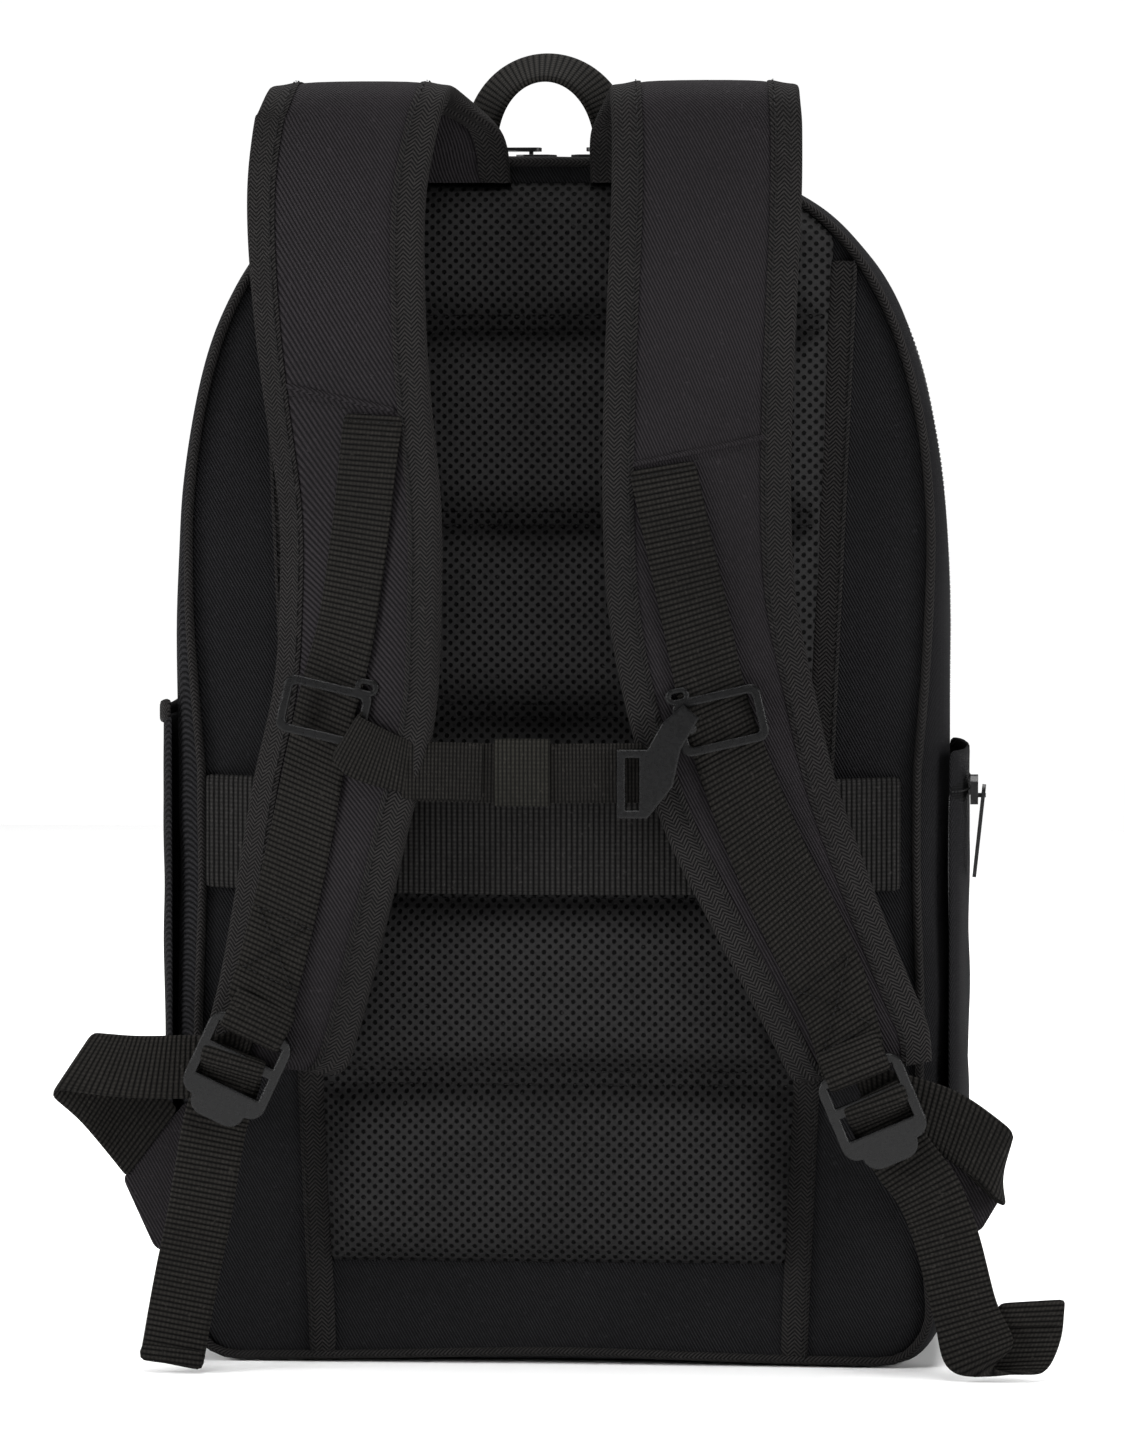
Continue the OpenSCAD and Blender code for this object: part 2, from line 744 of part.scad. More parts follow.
module webbing_loop(p) {
    y0 = anchor_y - 1.4;
    y1 = webbing_y + loop_drop;
    r = 0.7;
    color("#2b2a27") union() {
        hull() {
            for (q = [p[0], p[1]]) translate([q[0], y0 - r, q[1]]) sphere(r, $fn = 16);
            for (q = [p[2], p[3]]) translate([q[0], y1 - r, q[1]]) sphere(r, $fn = 16);
        }
        prism_y(y1 - 2 * r, y1, [p[2], p[3], p[4], p[5]]);
    }
}

// ---- Sternum strap ----

module sternum_webbing() {
    z0 = sternum_z - sternum_w / 2;
    z1 = sternum_z + sternum_w / 2;
    color("#2b2a27") union() {
        prism_y(sternum_y - sternum_t, sternum_y, [[sternum_x0 + 12, z0], [sternum_x1, z0],
            [sternum_x1, z1], [sternum_x0 + 12, z1]]);
        // The end folded round the ring's bar
        prism_y(sternum_y - 2 * sternum_t, sternum_y, [[-84, 235.5], [-78, 230], [-58, z0 + 5],
            [-54, z1 - 1], [-77, 253]]);
    }
}

module sternum_keeper() {
    t = 0.9;
    c = 0.5;
    y0 = sternum_y - sternum_t;
    color("#45463f") difference() {
        box([keeper_x0, y0 - c - t, sternum_z - sternum_w / 2 - c - t],
            [keeper_x1, sternum_y + c + t, sternum_z + sternum_w / 2 + c + t]);
        box([keeper_x0 - 1, y0 - c, sternum_z - sternum_w / 2 - c],
            [keeper_x1 + 1, sternum_y + c, sternum_z + sternum_w / 2 + c]);
    }
}

module sternum_hook() {
    back = sternum_y - sternum_t - slide_gap;
    prong = [53, 248];
    color("#3c3c40") union() {
        difference() {
            prism_y(back - 2.4, back, [[25, 214], [36.5, 214], [46, 226], [49, 240], [56, 252],
                [50, 257], [42, 250], [36.5, 240], [25, 240]]);
            box([28, -far, 217], [33.5, far, 237]);
        }
        // The hook's tip reaches back through the ring
        translate([prong[0], ring_y - 0.6, prong[1]]) rotate([90, 0, 0])
            cylinder(d = 4, h = ring_y - 0.6 - back + 1, $fn = 24);
    }
}

// ---- Grab handle ----

module grab_handle() {
    outer = [handle_span / 2, handle_h];
    steps = 20;
    ring = concat(
        [for (k = [0 : steps]) let (a = 180 * k / steps) [outer[0] * cos(a), outer[1] * sin(a)]],
        [for (k = [steps : -1 : 0]) let (a = 180 * k / steps)
            [(outer[0] - handle_t) * cos(a), (outer[1] - handle_t) * sin(a)]]);
    w = handle_w / 2;
    color("#2b2a27") translate([handle_x, handle_y, handle_z]) rotate([handle_lean, 0, 0])
        intersection() {
            prism_y(-w, w, ring);
            prism_x(-far, far, [[-4, 3.5], [4, 3.5], [w - 1.5, 15], [w, 22], [w, far],
                [-w, far], [-w, 22], [-w + 1.5, 15]]);
        }
}

module handle_tabs() {
    color("#2b2a27") for (side = [-1, 1])
        translate([handle_x + side * handle_span / 2, handle_y, body_h])
            translate([-8, -7, 0]) cube([16, 14, 1.4]);
}

back_panel();
frame_sheet();
back_pads();
air_mesh();
trolley_band();
panel_tape(-1);  // panel_tape_left
panel_tape(1);  // panel_tape_right
rear_piping();
rear_gusset();
base_tub();
base_pad();
laptop_divider();
laptop_tab();
main_zip_rear();
bottle_pocket();
bottle_pocket_hem();
side_pocket();
side_pocket_zip();
strap_root(left_root_path);  // strap_root_left
strap_root(right_root_path);  // strap_root_right
handle_tabs();
lower_anchor(left_anchor);  // lower_anchor_left
lower_anchor(right_anchor);  // lower_anchor_right
webbing_loop(left_loop);  // webbing_loop_left
webbing_loop(right_loop);  // webbing_loop_right
front_shell();
main_zip_front();
organiser_panel();
front_pocket();
front_pocket_zip();
main_slider(left_slider_x, 0);  // main_slider_left
main_slider(right_slider_x, 180);  // main_slider_right
main_pull(left_slider_x, 0);  // main_pull_left
main_pull(right_slider_x, 180);  // main_pull_right
front_slider();
front_pull();
side_slider();
side_pull();
grab_handle();
shoulder_pad(left_path);  // shoulder_pad_left
shoulder_pad(right_path);  // shoulder_pad_right
strap_binding(left_path);  // strap_binding_left
strap_binding(right_path);  // strap_binding_right
strap_webbing(left_webbing_path, left_lock_at, left_lock_tilt);  // strap_webbing_left
strap_webbing(right_webbing_path, right_lock_at, right_lock_tilt);  // strap_webbing_right
strap_ring(left_ring_at, ring_tilt, 1);  // strap_ring_left
strap_ring(right_ring_at, -ring_tilt, -1);  // strap_ring_right
ladder_lock(left_lock_at, left_lock_tilt);  // ladder_lock_left
ladder_lock(right_lock_at, right_lock_tilt);  // ladder_lock_right
webbing_tail_left();
webbing_tail_right();
sternum_webbing();
sternum_keeper();
sternum_hook();
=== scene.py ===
"""School backpack: cloth, webbing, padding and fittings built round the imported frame."""

import logging
import math
from dataclasses import dataclass
from enum import Enum
from typing import Callable, Iterable, Sequence

import bmesh
import bpy
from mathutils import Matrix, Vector, noise


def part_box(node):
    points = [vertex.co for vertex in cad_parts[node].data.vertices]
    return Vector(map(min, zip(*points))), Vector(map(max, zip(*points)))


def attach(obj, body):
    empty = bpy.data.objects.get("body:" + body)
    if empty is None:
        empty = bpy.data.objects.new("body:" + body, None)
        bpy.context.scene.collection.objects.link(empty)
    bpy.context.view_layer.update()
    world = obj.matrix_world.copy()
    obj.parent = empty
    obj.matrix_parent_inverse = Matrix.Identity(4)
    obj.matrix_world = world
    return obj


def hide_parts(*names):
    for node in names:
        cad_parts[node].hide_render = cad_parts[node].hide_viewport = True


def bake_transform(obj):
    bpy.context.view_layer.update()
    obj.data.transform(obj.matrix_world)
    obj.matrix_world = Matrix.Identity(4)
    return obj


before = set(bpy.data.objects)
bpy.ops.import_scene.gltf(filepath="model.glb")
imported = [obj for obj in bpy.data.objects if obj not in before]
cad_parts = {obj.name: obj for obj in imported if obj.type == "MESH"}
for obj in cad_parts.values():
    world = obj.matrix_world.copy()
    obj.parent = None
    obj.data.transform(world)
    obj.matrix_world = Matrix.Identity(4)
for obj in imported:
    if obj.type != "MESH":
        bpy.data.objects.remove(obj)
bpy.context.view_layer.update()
LOG = logging.getLogger("backpack")
Row = Sequence[Vector]
Colour = tuple[float, float, float]
Station = tuple[Vector, Vector, Vector, float]

# Lengths in metres
MM = 0.001
WELD_REACH = 0.00005
STITCH_RADIUS = 0.00033
STITCH_PITCH = 0.0034
FITTING_EDGE = 0.0006
POCKET_CLOTH = 0.0014
SENSOR_WIDTH = 0.036
ZIP_TAPE_THICK = 0.001
COIL_PITCH = 0.0016

WEARER = Vector((0, -1, 0))


class Pattern(Enum):
    """How a cloth is made."""

    TWILL = "twill"
    RIBS = "ribs"
    HERRINGBONE = "herringbone"
    SPACER = "spacer"
    PLAIN = "plain"


def mm(x: float, y: float, z: float) -> Vector:
    """A point given in millimetres."""
    return Vector((x, y, z)) * MM


def lerp(a: float, b: float, t: float) -> float:
    """The value a share t of the way from a to b."""
    return a + (b - a) * t


def ease(t: float) -> float:
    """A share from 0 to 1 that starts and ends gently."""
    t = min(1.0, max(0.0, t))
    return t * t * (3 - 2 * t)


def along(path: Sequence[Sequence[float]], at: float) -> float:
    """Reads a smooth curve through [place, value] pairs.

    Args:
        path: the pairs, in rising order of place.
        at: the place to read.

    Returns:
        The value there, held level past the ends.
    """
    if at <= path[0][0]:
        return path[0][1]
    for k in range(len(path) - 1):
        (a, va), (b, vb) = path[k], path[k + 1]
        if at <= b:
            before = path[max(0, k - 1)]
            after = path[min(len(path) - 1, k + 2)]
            span = b - a
            ma = (vb - before[1]) / (b - before[0]) * span
            mb = (after[1] - va) / (after[0] - a) * span
            t = (at - a) / span
            return ((2 * t**3 - 3 * t**2 + 1) * va + (t**3 - 2 * t**2 + t) * ma
                    + (3 * t**2 - 2 * t**3) * vb + (t**3 - t**2) * mb)
    return path[-1][1]


def crumple(p: Vector, size: float, depth: float) -> float:
    """A repeatable height of soft creases at a point.

    Args:
        p: the point, in metres.
        size: the width of a crease, in metres.
        depth: about the most that it rises or falls, in any unit.
    """
    q = p / size
    return depth * (noise.noise(q) + 0.4 * noise.noise(q * 2.3 + Vector((5.1, 2.2, 9.4))))


def power(value: float, exponent: float) -> float:
    """Raises a value's size to a power and keeps its sign."""
    return math.copysign(abs(value) ** exponent, value)


def rumpled(p: Vector) -> Vector:
    """A point of a strap's cloth, moved by its shallow creases."""
    return p + WEARER * MM * crumple(p, 0.04, 0.7)


# ---- Shader groups ----


class Tree:
    """Places and links nodes in one node tree."""

    def __init__(self, tree: bpy.types.NodeTree) -> None:
        """Holds the tree."""
        self.tree = tree

    def node(self, kind: str, **settings: object) -> bpy.types.Node:
        """Adds a node and sets its properties."""
        made = self.tree.nodes.new(kind)
        for key, value in settings.items():
            setattr(made, key, value)
        return made

    def put(self, value: object, socket: bpy.types.NodeSocket) -> None:
        """Links a socket, or sets a plain value."""
        if isinstance(value, bpy.types.NodeSocket):
            self.tree.links.new(value, socket)
        else:
            socket.default_value = value

    def math(self, operation: str, *values: object) -> bpy.types.NodeSocket:
        """Adds a math node on these values and returns its result."""
        made = self.node("ShaderNodeMath", operation=operation)
        for k, value in enumerate(values):
            self.put(value, made.inputs[k])
        return made.outputs[0]

    def axes(self, vector: object) -> list[bpy.types.NodeSocket]:
        """The three parts of a vector."""
        made = self.node("ShaderNodeSeparateXYZ")
        self.put(vector, made.inputs[0])
        return list(made.outputs)

    def wave(self, at: object, pitch: object) -> bpy.types.NodeSocket:
        """A smooth wave from 0 to 1 along a length."""
        turns = self.math("DIVIDE", at, pitch)
        angle = self.math("MULTIPLY", turns, math.tau)
        return self.math("MULTIPLY_ADD", self.math("SINE", angle), 0.5, 0.5)

    def noise(self, vector: object, scale: float, detail: float = 2.0) -> bpy.types.NodeSocket:
        """Cloudy noise from 0 to 1."""
        made = self.node("ShaderNodeTexNoise")
        self.put(vector, made.inputs["Vector"])
        made.inputs["Scale"].default_value = scale
        made.inputs["Detail"].default_value = detail
        return made.outputs["Fac"]


def group(name: str, inputs: dict[str, str], outputs: dict[str, str],
          build: Callable[[Tree, bpy.types.Node, bpy.types.Node], None]) -> bpy.types.NodeTree:
    """Makes a shader node group once.

    Args:
        name: the group's name.
        inputs: socket name to type, "Vector" or "Float".
        outputs: the same for what it puts out.
        build: fills the tree, given the tree, its input node and its output node.

    Returns:
        The node group.
    """
    if name in bpy.data.node_groups:
        return bpy.data.node_groups[name]
    made = bpy.data.node_groups.new(name, "ShaderNodeTree")
    for side, sockets in (("INPUT", inputs), ("OUTPUT", outputs)):
        for label, kind in sockets.items():
            made.interface.new_socket(name=label, in_out=side, socket_type=f"NodeSocket{kind}")
    tree = Tree(made)
    build(tree, tree.node("NodeGroupInput"), tree.node("NodeGroupOutput"))
    return made


def build_twill(t: Tree, given: bpy.types.Node, out: bpy.types.Node) -> None:
    """Steep diagonal ribs that run over every face of the bag alike."""
    x, y, z = t.axes(given.outputs["Vector"])
    across = t.math("ADD", x, y)
    diagonal = t.math("MULTIPLY_ADD", z, 0.55, across)
    rib = t.wave(diagonal, given.outputs["Pitch"])
    yarn = t.wave(z, t.math("MULTIPLY", given.outputs["Pitch"], 0.71))
    height = t.math("MULTIPLY_ADD", yarn, 0.25, rib)
    t.put(height, out.inputs["Height"])
    t.put(rib, out.inputs["Shade"])


def build_ribs(t: Tree, given: bpy.types.Node, out: bpy.types.Node) -> None:
    """Rounded ribs across a tape with the warp yarns running over them."""
    u, v, _ = t.axes(given.outputs["Vector"])
    turns = t.math("DIVIDE", v, given.outputs["Pitch"])
    hump = t.math("ABSOLUTE", t.math("SINE", t.math("MULTIPLY", turns, math.pi)))
    yarn = t.wave(u, 0.0016)
    height = t.math("MULTIPLY", t.math("POWER", hump, 0.6), t.math("MULTIPLY_ADD", yarn, 0.25, 0.75))
    t.put(height, out.inputs["Height"])
    t.put(t.math("POWER", height, 2.2), out.inputs["Shade"])


def build_herringbone(t: Tree, given: bpy.types.Node, out: bpy.types.Node) -> None:
    """Diagonal ribs that turn back at the middle of the tape."""
    u, v, _ = t.axes(given.outputs["Vector"])
    zigzag = t.math("PINGPONG", u, 0.0026)
    line = t.wave(t.math("ADD", v, zigzag), given.outputs["Pitch"])
    t.put(line, out.inputs["Height"])
    t.put(line, out.inputs["Shade"])


def build_spacer(t: Tree, given: bpy.types.Node, out: bpy.types.Node) -> None:
    """Round holes in staggered rows, with knitted threads between them."""
    x, _, z = t.axes(given.outputs["Vector"])
    pitch = given.outputs["Pitch"]
    rows = t.math("MULTIPLY", pitch, 0.94)
    found = []
    for shift in (0.0, 0.5):
        dx = t.math("SUBTRACT", t.math("FRACT", t.math("ADD", t.math("DIVIDE", x, pitch), shift)), 0.5)
        dz = t.math("SUBTRACT", t.math("FRACT", t.math("ADD", t.math("DIVIDE", z, rows), shift)), 0.5)
        dz = t.math("MULTIPLY", dz, 0.94)
        found.append(t.math("SQRT", t.math("ADD", t.math("MULTIPLY", dx, dx), t.math("MULTIPLY", dz, dz))))
    near = t.math("MINIMUM", *found)
    ramp = t.node("ShaderNodeMapRange", interpolation_type="SMOOTHSTEP")
    t.put(near, ramp.inputs["Value"])
    ramp.inputs["From Min"].default_value = 0.12
    ramp.inputs["From Max"].default_value = 0.24
    t.put(ramp.outputs["Result"], out.inputs["Height"])
    t.put(ramp.outputs["Result"], out.inputs["Shade"])


def build_plain(t: Tree, given: bpy.types.Node, out: bpy.types.Node) -> None:
    """A fine crossed weave."""
    x, y, z = t.axes(given.outputs["Vector"])
    cross = t.math("MULTIPLY", t.wave(t.math("ADD", x, y), given.outputs["Pitch"]),
                   t.wave(z, given.outputs["Pitch"]))
    t.put(cross, out.inputs["Height"])
    t.put(cross, out.inputs["Shade"])


def build_wear(t: Tree, given: bpy.types.Node, out: bpy.types.Node) -> None:
    """Cloudy rubbing of the surface and a few light specks of lint."""
    cloud = t.noise(given.outputs["Vector"], 14.0, 5.0)
    yarn = t.noise(given.outputs["Vector"], 650.0, 3.0)
    rub = t.math("MULTIPLY_ADD", t.math("SUBTRACT", yarn, 0.5), 0.9, cloud)
    speck = t.noise(given.outputs["Vector"], 520.0, 1.0)
    lint = t.math("MULTIPLY", t.math("GREATER_THAN", speck, 0.735), 0.5)
    t.put(rub, out.inputs["Rub"])
    t.put(lint, out.inputs["Lint"])


BUILDERS = {Pattern.TWILL: build_twill, Pattern.RIBS: build_ribs, Pattern.PLAIN: build_plain,
            Pattern.HERRINGBONE: build_herringbone, Pattern.SPACER: build_spacer}
WEAVE_IN = {"Vector": "Vector", "Pitch": "Float"}
WEAVE_OUT = {"Height": "Float", "Shade": "Float"}
RUNS_ALONG = (Pattern.RIBS, Pattern.HERRINGBONE)


WEAR_IN = {"Vector": "Vector"}
WEAR_OUT = {"Rub": "Float", "Lint": "Float"}


class Surface(Tree):
    """A new material's node tree, with its shader, its coordinates and its wear."""

    def __init__(self, title: str) -> None:
        """Makes the material."""
        self.material = bpy.data.materials.new(title)
        self.material.use_nodes = True
        super().__init__(self.material.node_tree)
        self.shader = self.material.node_tree.nodes["Principled BSDF"].inputs
        self.places = self.node("ShaderNodeTexCoord").outputs
        self.wear = self.shared("wear", WEAR_IN, WEAR_OUT, build_wear, "Object").outputs

    def shared(self, name: str, inputs: dict[str, str], outputs: dict[str, str], build: Callable,
               place: str) -> bpy.types.Node:
        """Adds a shared node group.

        Args:
            name: the group's name.
            inputs: its inputs, as group() takes them.
            outputs: its outputs, as group() takes them.
            build: fills the group.
            place: the coordinates that feed its Vector.

        Returns:
            The group's node.
        """
        made = self.node("ShaderNodeGroup")
        made.node_tree = group(name, inputs, outputs, build)
        self.put(self.places[place], made.inputs["Vector"])
        return made

    def paint(self, share: bpy.types.NodeSocket, low: Colour, high: Colour) -> None:
        """Mixes the base colour from low to high by a share."""
        mix = self.node("ShaderNodeMix", data_type="RGBA")
        self.put(share, mix.inputs["Factor"])
        mix.inputs["A"].default_value = (*low, 1)
        mix.inputs["B"].default_value = (*high, 1)
        self.put(mix.outputs["Result"], self.shader["Base Color"])

    def shine(self, roughness: float, spread: float, specular: float) -> None:
        """Sets the shine: the roughness varies by the spread where the surface is rubbed."""
        rough = self.math("MULTIPLY_ADD", self.wear["Rub"], spread, roughness - spread / 2)
        self.put(rough, self.shader["Roughness"])
        self.shader["Specular IOR Level"].default_value = specular

    def relief(self, height: bpy.types.NodeSocket, depth: float, strength: float = 1.0) -> bpy.types.Node:
        """Adds the fine relief, and returns its bump node."""
        bump = self.node("ShaderNodeBump")
        bump.inputs["Strength"].default_value = strength
        bump.inputs["Distance"].default_value = depth
        self.put(height, bump.inputs["Height"])
        self.put(bump.outputs["Normal"], self.shader["Normal"])
        return bump


@dataclass(frozen=True)
class Finish:
    """A surface: its slot name, which nothing here reads, colours in its hollows and on its crests, and its weave.
    """

    name: str
    slot: str
    low: Colour
    high: Colour
    pattern: Pattern
    pitch: float
    depth: float
    roughness: float = 0.85
    specular: float = 0.06

    def material(self) -> bpy.types.Material:
        """Builds the material once, and returns it."""
        title = f"finish_{self.name}"
        if title in bpy.data.materials:
            return bpy.data.materials[title]
        t = Surface(title)
        weave = t.shared(f"{self.pattern.value}_weave", WEAVE_IN, WEAVE_OUT, BUILDERS[self.pattern],
                         "UV" if self.pattern in RUNS_ALONG else "Object")
        weave.inputs["Pitch"].default_value = self.pitch
        rubbed = t.math("MULTIPLY_ADD", t.wear["Rub"], 1.1, 0.35)
        share = t.math("MULTIPLY", weave.outputs["Shade"], rubbed)
        t.paint(t.math("ADD", share, t.wear["Lint"]), self.low, self.high)
        t.shine(self.roughness, 0.18, self.specular)
        t.relief(weave.outputs["Height"], self.depth, 0.8)
        return t.material


@dataclass(frozen=True)
class Moulded:
    """Moulded plastic, painted metal or foam with a fine grain."""

    name: str
    slot: str
    colour: Colour
    roughness: float
    grain: float = 0.00008
    specular: float = 0.5
    edge: float = 0.0011

    def material(self) -> bpy.types.Material:
        """Builds the material once, and returns it."""
        title = f"finish_{self.name}"
        if title in bpy.data.materials:
            return bpy.data.materials[title]
        t = Surface(title)
        t.paint(t.wear["Rub"], tuple(c * 0.75 for c in self.colour), tuple(c * 1.3 for c in self.colour))
        t.shine(self.roughness, 0.2, self.specular)
        bump = t.relief(t.noise(t.places["Object"], 900.0), self.grain)
        rounded = t.node("ShaderNodeBevel")
        rounded.inputs["Radius"].default_value = self.edge
        t.put(rounded.outputs["Normal"], bump.inputs["Normal"])
        return t.material


BODY = Finish("body_twill", "body_twill", (0.0016, 0.0016, 0.0019), (0.0150, 0.0147, 0.0160),
              Pattern.TWILL, 0.0012, 0.00030)
STRAP = Finish("strap_twill", "strap_twill", (0.0042, 0.0037, 0.0042), (0.0215, 0.0192, 0.0212),
               Pattern.TWILL, 0.0013, 0.00025)
WEBBING = Finish("ribbed_webbing", "webbing", (0.0010, 0.0010, 0.0009), (0.0190, 0.0176, 0.0160),
                 Pattern.RIBS, 0.002, 0.0006)
BAND = Finish("band_webbing", "webbing", (0.0012, 0.0012, 0.0012), (0.0250, 0.0240, 0.0234),
              Pattern.RIBS, 0.0021, 0.0006)
FINE = Finish("sternum_webbing_weave", "webbing", (0.0010, 0.0010, 0.0009), (0.0170, 0.0158, 0.0145),
              Pattern.RIBS, 0.0014, 0.0004)
ELASTIC = Finish("elastic", "elastic", (0.0030, 0.0030, 0.0026), (0.0225, 0.0215, 0.0185),
                 Pattern.RIBS, 0.0016, 0.0004)
BINDING = Finish("herringbone_tape", "binding_tape", (0.0022, 0.0021, 0.0022), (0.0225, 0.0211, 0.0207),
                 Pattern.HERRINGBONE, 0.0016, 0.0003)
SPACER = Finish("spacer_mesh", "mesh", (0.0008, 0.0008, 0.0008), (0.0165, 0.0161, 0.0163),
                Pattern.SPACER, 0.0045, 0.0012)
LINING = Finish("lining", "lining", (0.014, 0.015, 0.017), (0.045, 0.046, 0.052),
                Pattern.PLAIN, 0.0012, 0.0001)
ZIP_TAPE = Finish("zip_tape", "zip_tape", (0.0022, 0.0022, 0.0023), (0.011, 0.011, 0.0115),
                  Pattern.PLAIN, 0.0009, 0.0001)
THREAD = Moulded("thread", "binding_tape", (0.0085, 0.0082, 0.0084), 0.7, specular=0.15)
PLASTIC = Moulded("acetal", "hardware", (0.0026, 0.0026, 0.0028), 0.27, 0.00001, 0.27)
METAL = Moulded("painted_slider", "slider", (0.0060, 0.0060, 0.0064), 0.36, specular=0.28, edge=0.0003)
TEETH = Moulded("nylon_teeth", "zip_tape", (0.0065, 0.0065, 0.007), 0.4, specular=0.3)
FOAM = Moulded("foam", "foam", (0.06, 0.06, 0.065), 0.9, 0.0004, 0.1)
BOARD = Moulded("board", "board", (0.55, 0.55, 0.53), 0.5, 0.0001, 0.3)


# ---- Meshes ----


def mesh_object(name: str, points: Iterable[Vector], faces: Iterable[Sequence[int]]) -> bpy.types.Object:
    """Makes a smooth-shaded mesh object from points and faces."""
    data = bpy.data.meshes.new(name)
    data.from_pydata([tuple(p) for p in points], [], [tuple(f) for f in faces])
    data.shade_smooth()
    made = bpy.data.objects.new(name, data)
    bpy.context.scene.collection.objects.link(made)
    return made


def grid(name: str, rows: Sequence[Row], closed: bool = False) -> bpy.types.Object:
    """Makes a sheet of quads, with a UV map measured in metres.

    Args:
        name: the object's name.
        rows: rows of points, all of one length; the map's V runs from row to row.
        closed: whether the last column joins the first.

    Returns:
        The mesh object.
    """
    wide = len(rows[0])
    faces = []
    for r in range(len(rows) - 1):
        for c in range(wide if closed else wide - 1):
            d = (c + 1) % wide
            faces.append((r * wide + c, r * wide + d, (r + 1) * wide + d, (r + 1) * wide + c))
    made = mesh_object(name, [p for row in rows for p in row], faces)
    middle = wide // 2
    v = [0.0]
    for a, b in zip(rows, rows[1:]):
        v.append(v[-1] + (b[middle] - a[middle]).length)
    u = []
    for row in rows:
        reach = [0.0]
        for c in range(wide):
            reach.append(reach[-1] + (row[(c + 1) % wide] - row[c]).length)
        u.append(reach)
    layer = made.data.uv_layers.new(name="cloth")
    at = 0
    for r in range(len(rows) - 1):
        for c in range(wide if closed else wide - 1):
            for rr, cc in ((r, c), (r, c + 1), (r + 1, c + 1), (r + 1, c)):
                layer.data[at].uv = (u[rr][cc], v[rr])
                at += 1
    return made


def set_solid(obj: bpy.types.Object, thickness: float, offset: float = 0.0, levels: int = 1,
              soften: int = 0) -> bpy.types.Object:
    """Gives a sheet its thickness and roundness, applied to its mesh.

    Args:
        obj: the sheet.
        thickness: in metres; 0 for none.
        offset: -1 grows it inwards, 1 outwards, 0 both ways.
        levels: how often it is subdivided.
        soften: how many smoothing passes come first.
    """
    if soften:
        smooth = obj.modifiers.new("soften", "SMOOTH")
        smooth.iterations = soften
        smooth.factor = 0.5
    if thickness:
        solid = obj.modifiers.new("thickness", "SOLIDIFY")
        solid.thickness = thickness
        solid.offset = offset
        solid.use_quality_normals = True
    if levels:
        round_ = obj.modifiers.new("round", "SUBSURF")
        round_.levels = round_.render_levels = levels
    return settle(obj)


def weld(obj: bpy.types.Object) -> bpy.types.Object:
    """Joins the points that lie on each other and turns all the faces one way."""
    mesh = bmesh.new()
    mesh.from_mesh(obj.data)
    bmesh.ops.remove_doubles(mesh, verts=mesh.verts, dist=WELD_REACH)
    bmesh.ops.recalc_face_normals(mesh, faces=mesh.faces)
    mesh.to_mesh(obj.data)
    mesh.free()
    return obj


def settle(obj: bpy.types.Object) -> bpy.types.Object:
    """Applies every modifier to the object's mesh."""
    graph = bpy.context.evaluated_depsgraph_get()
    made = bpy.data.meshes.new_from_object(obj.evaluated_get(graph))
    obj.modifiers.clear()
    old, obj.data = obj.data, made
    bpy.data.meshes.remove(old)
    obj.data.shade_smooth()
    return obj


def cloth_sheet(name: str, rows: Sequence[Row], thickness: float, closed: bool = False,
                offset: float = 0.0) -> bpy.types.Object:
    """A grid with a thickness in metres and rounded corners; the rest is as in grid and set_solid."""
    return set_solid(grid(name, rows, closed), thickness, offset, 1)


def dress(obj: bpy.types.Object, finish: Finish | Moulded, body: str | tuple,
          *nodes: str) -> bpy.types.Object:
    """Gives a piece its material, its body and the CAD nodes it stands for.

    Args:
        obj: the piece.
        finish: its finish.
        body: the body it rides on, or (body, body, start, end) for cloth across a joint.
        nodes: the CAD nodes it replaces.
    """
    obj.data.materials.clear()
    obj.data.materials.append(finish.material())
    if isinstance(body, tuple):
        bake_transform(obj)
    else:
        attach(obj, body)
    if nodes:
        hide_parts(*nodes)
    LOG.info("%s: %d faces", obj.name, len(obj.data.polygons))
    return obj


def ribbon(name: str, edges: Sequence[tuple[Vector, Vector]], thickness: float, columns: int = 6,
           step: float = 0.006) -> bpy.types.Object:
    """A flat tape given by the two ends of its cross-lines.

    Args:
        name: the object's name.
        edges: the two edge points of each cross-line, in order along the tape.
        thickness: the tape's thickness, in metres.
        columns: faces across the tape.
        step: the length of a face along the tape.
    """
    count = len(edges) - 1
    rows = []
    for k in range(count):
        lines = [edges[max(0, k - 1)], edges[k], edges[k + 1], edges[min(count, k + 2)]]
        length = ((edges[k + 1][0] - edges[k][0]).length + (edges[k + 1][1] - edges[k][1]).length) / 2
        parts = max(1, round(length / step))
        for i in range(parts + (k == count - 1)):
            t = i / parts
            w = (-0.5 * t + t * t - 0.5 * t**3, 1 - 2.5 * t * t + 1.5 * t**3,
                 0.5 * t + 2 * t * t - 1.5 * t**3, 0.5 * (t**3 - t * t))
            a, b = (sum((line[s] * f for line, f in zip(lines, w)), Vector()) for s in (0, 1))
            rows.append([a.lerp(b, c / columns) for c in range(columns + 1)])
    return cloth_sheet(name, rows, thickness)


def flat_edges(path: Sequence[Sequence[float]], width: float) -> list[tuple[Vector, Vector]]:
    """Cross-lines of a tape that faces the wearer, square to its own path.

    Args:
        path: points [x, y, z] of its middle, in millimetres.
        width: its width in millimetres.
    """
    found = []
    for k, p in enumerate(path):
        a, b = path[max(0, k - 1)], path[min(len(path) - 1, k + 1)]
        d = Vector((b[0] - a[0], 0, b[2] - a[2])).normalized()
        side = Vector((d.z, 0, -d.x)) * width / 2
        found.append((mm(*(Vector(p) - side)), mm(*(Vector(p) + side))))
    return found


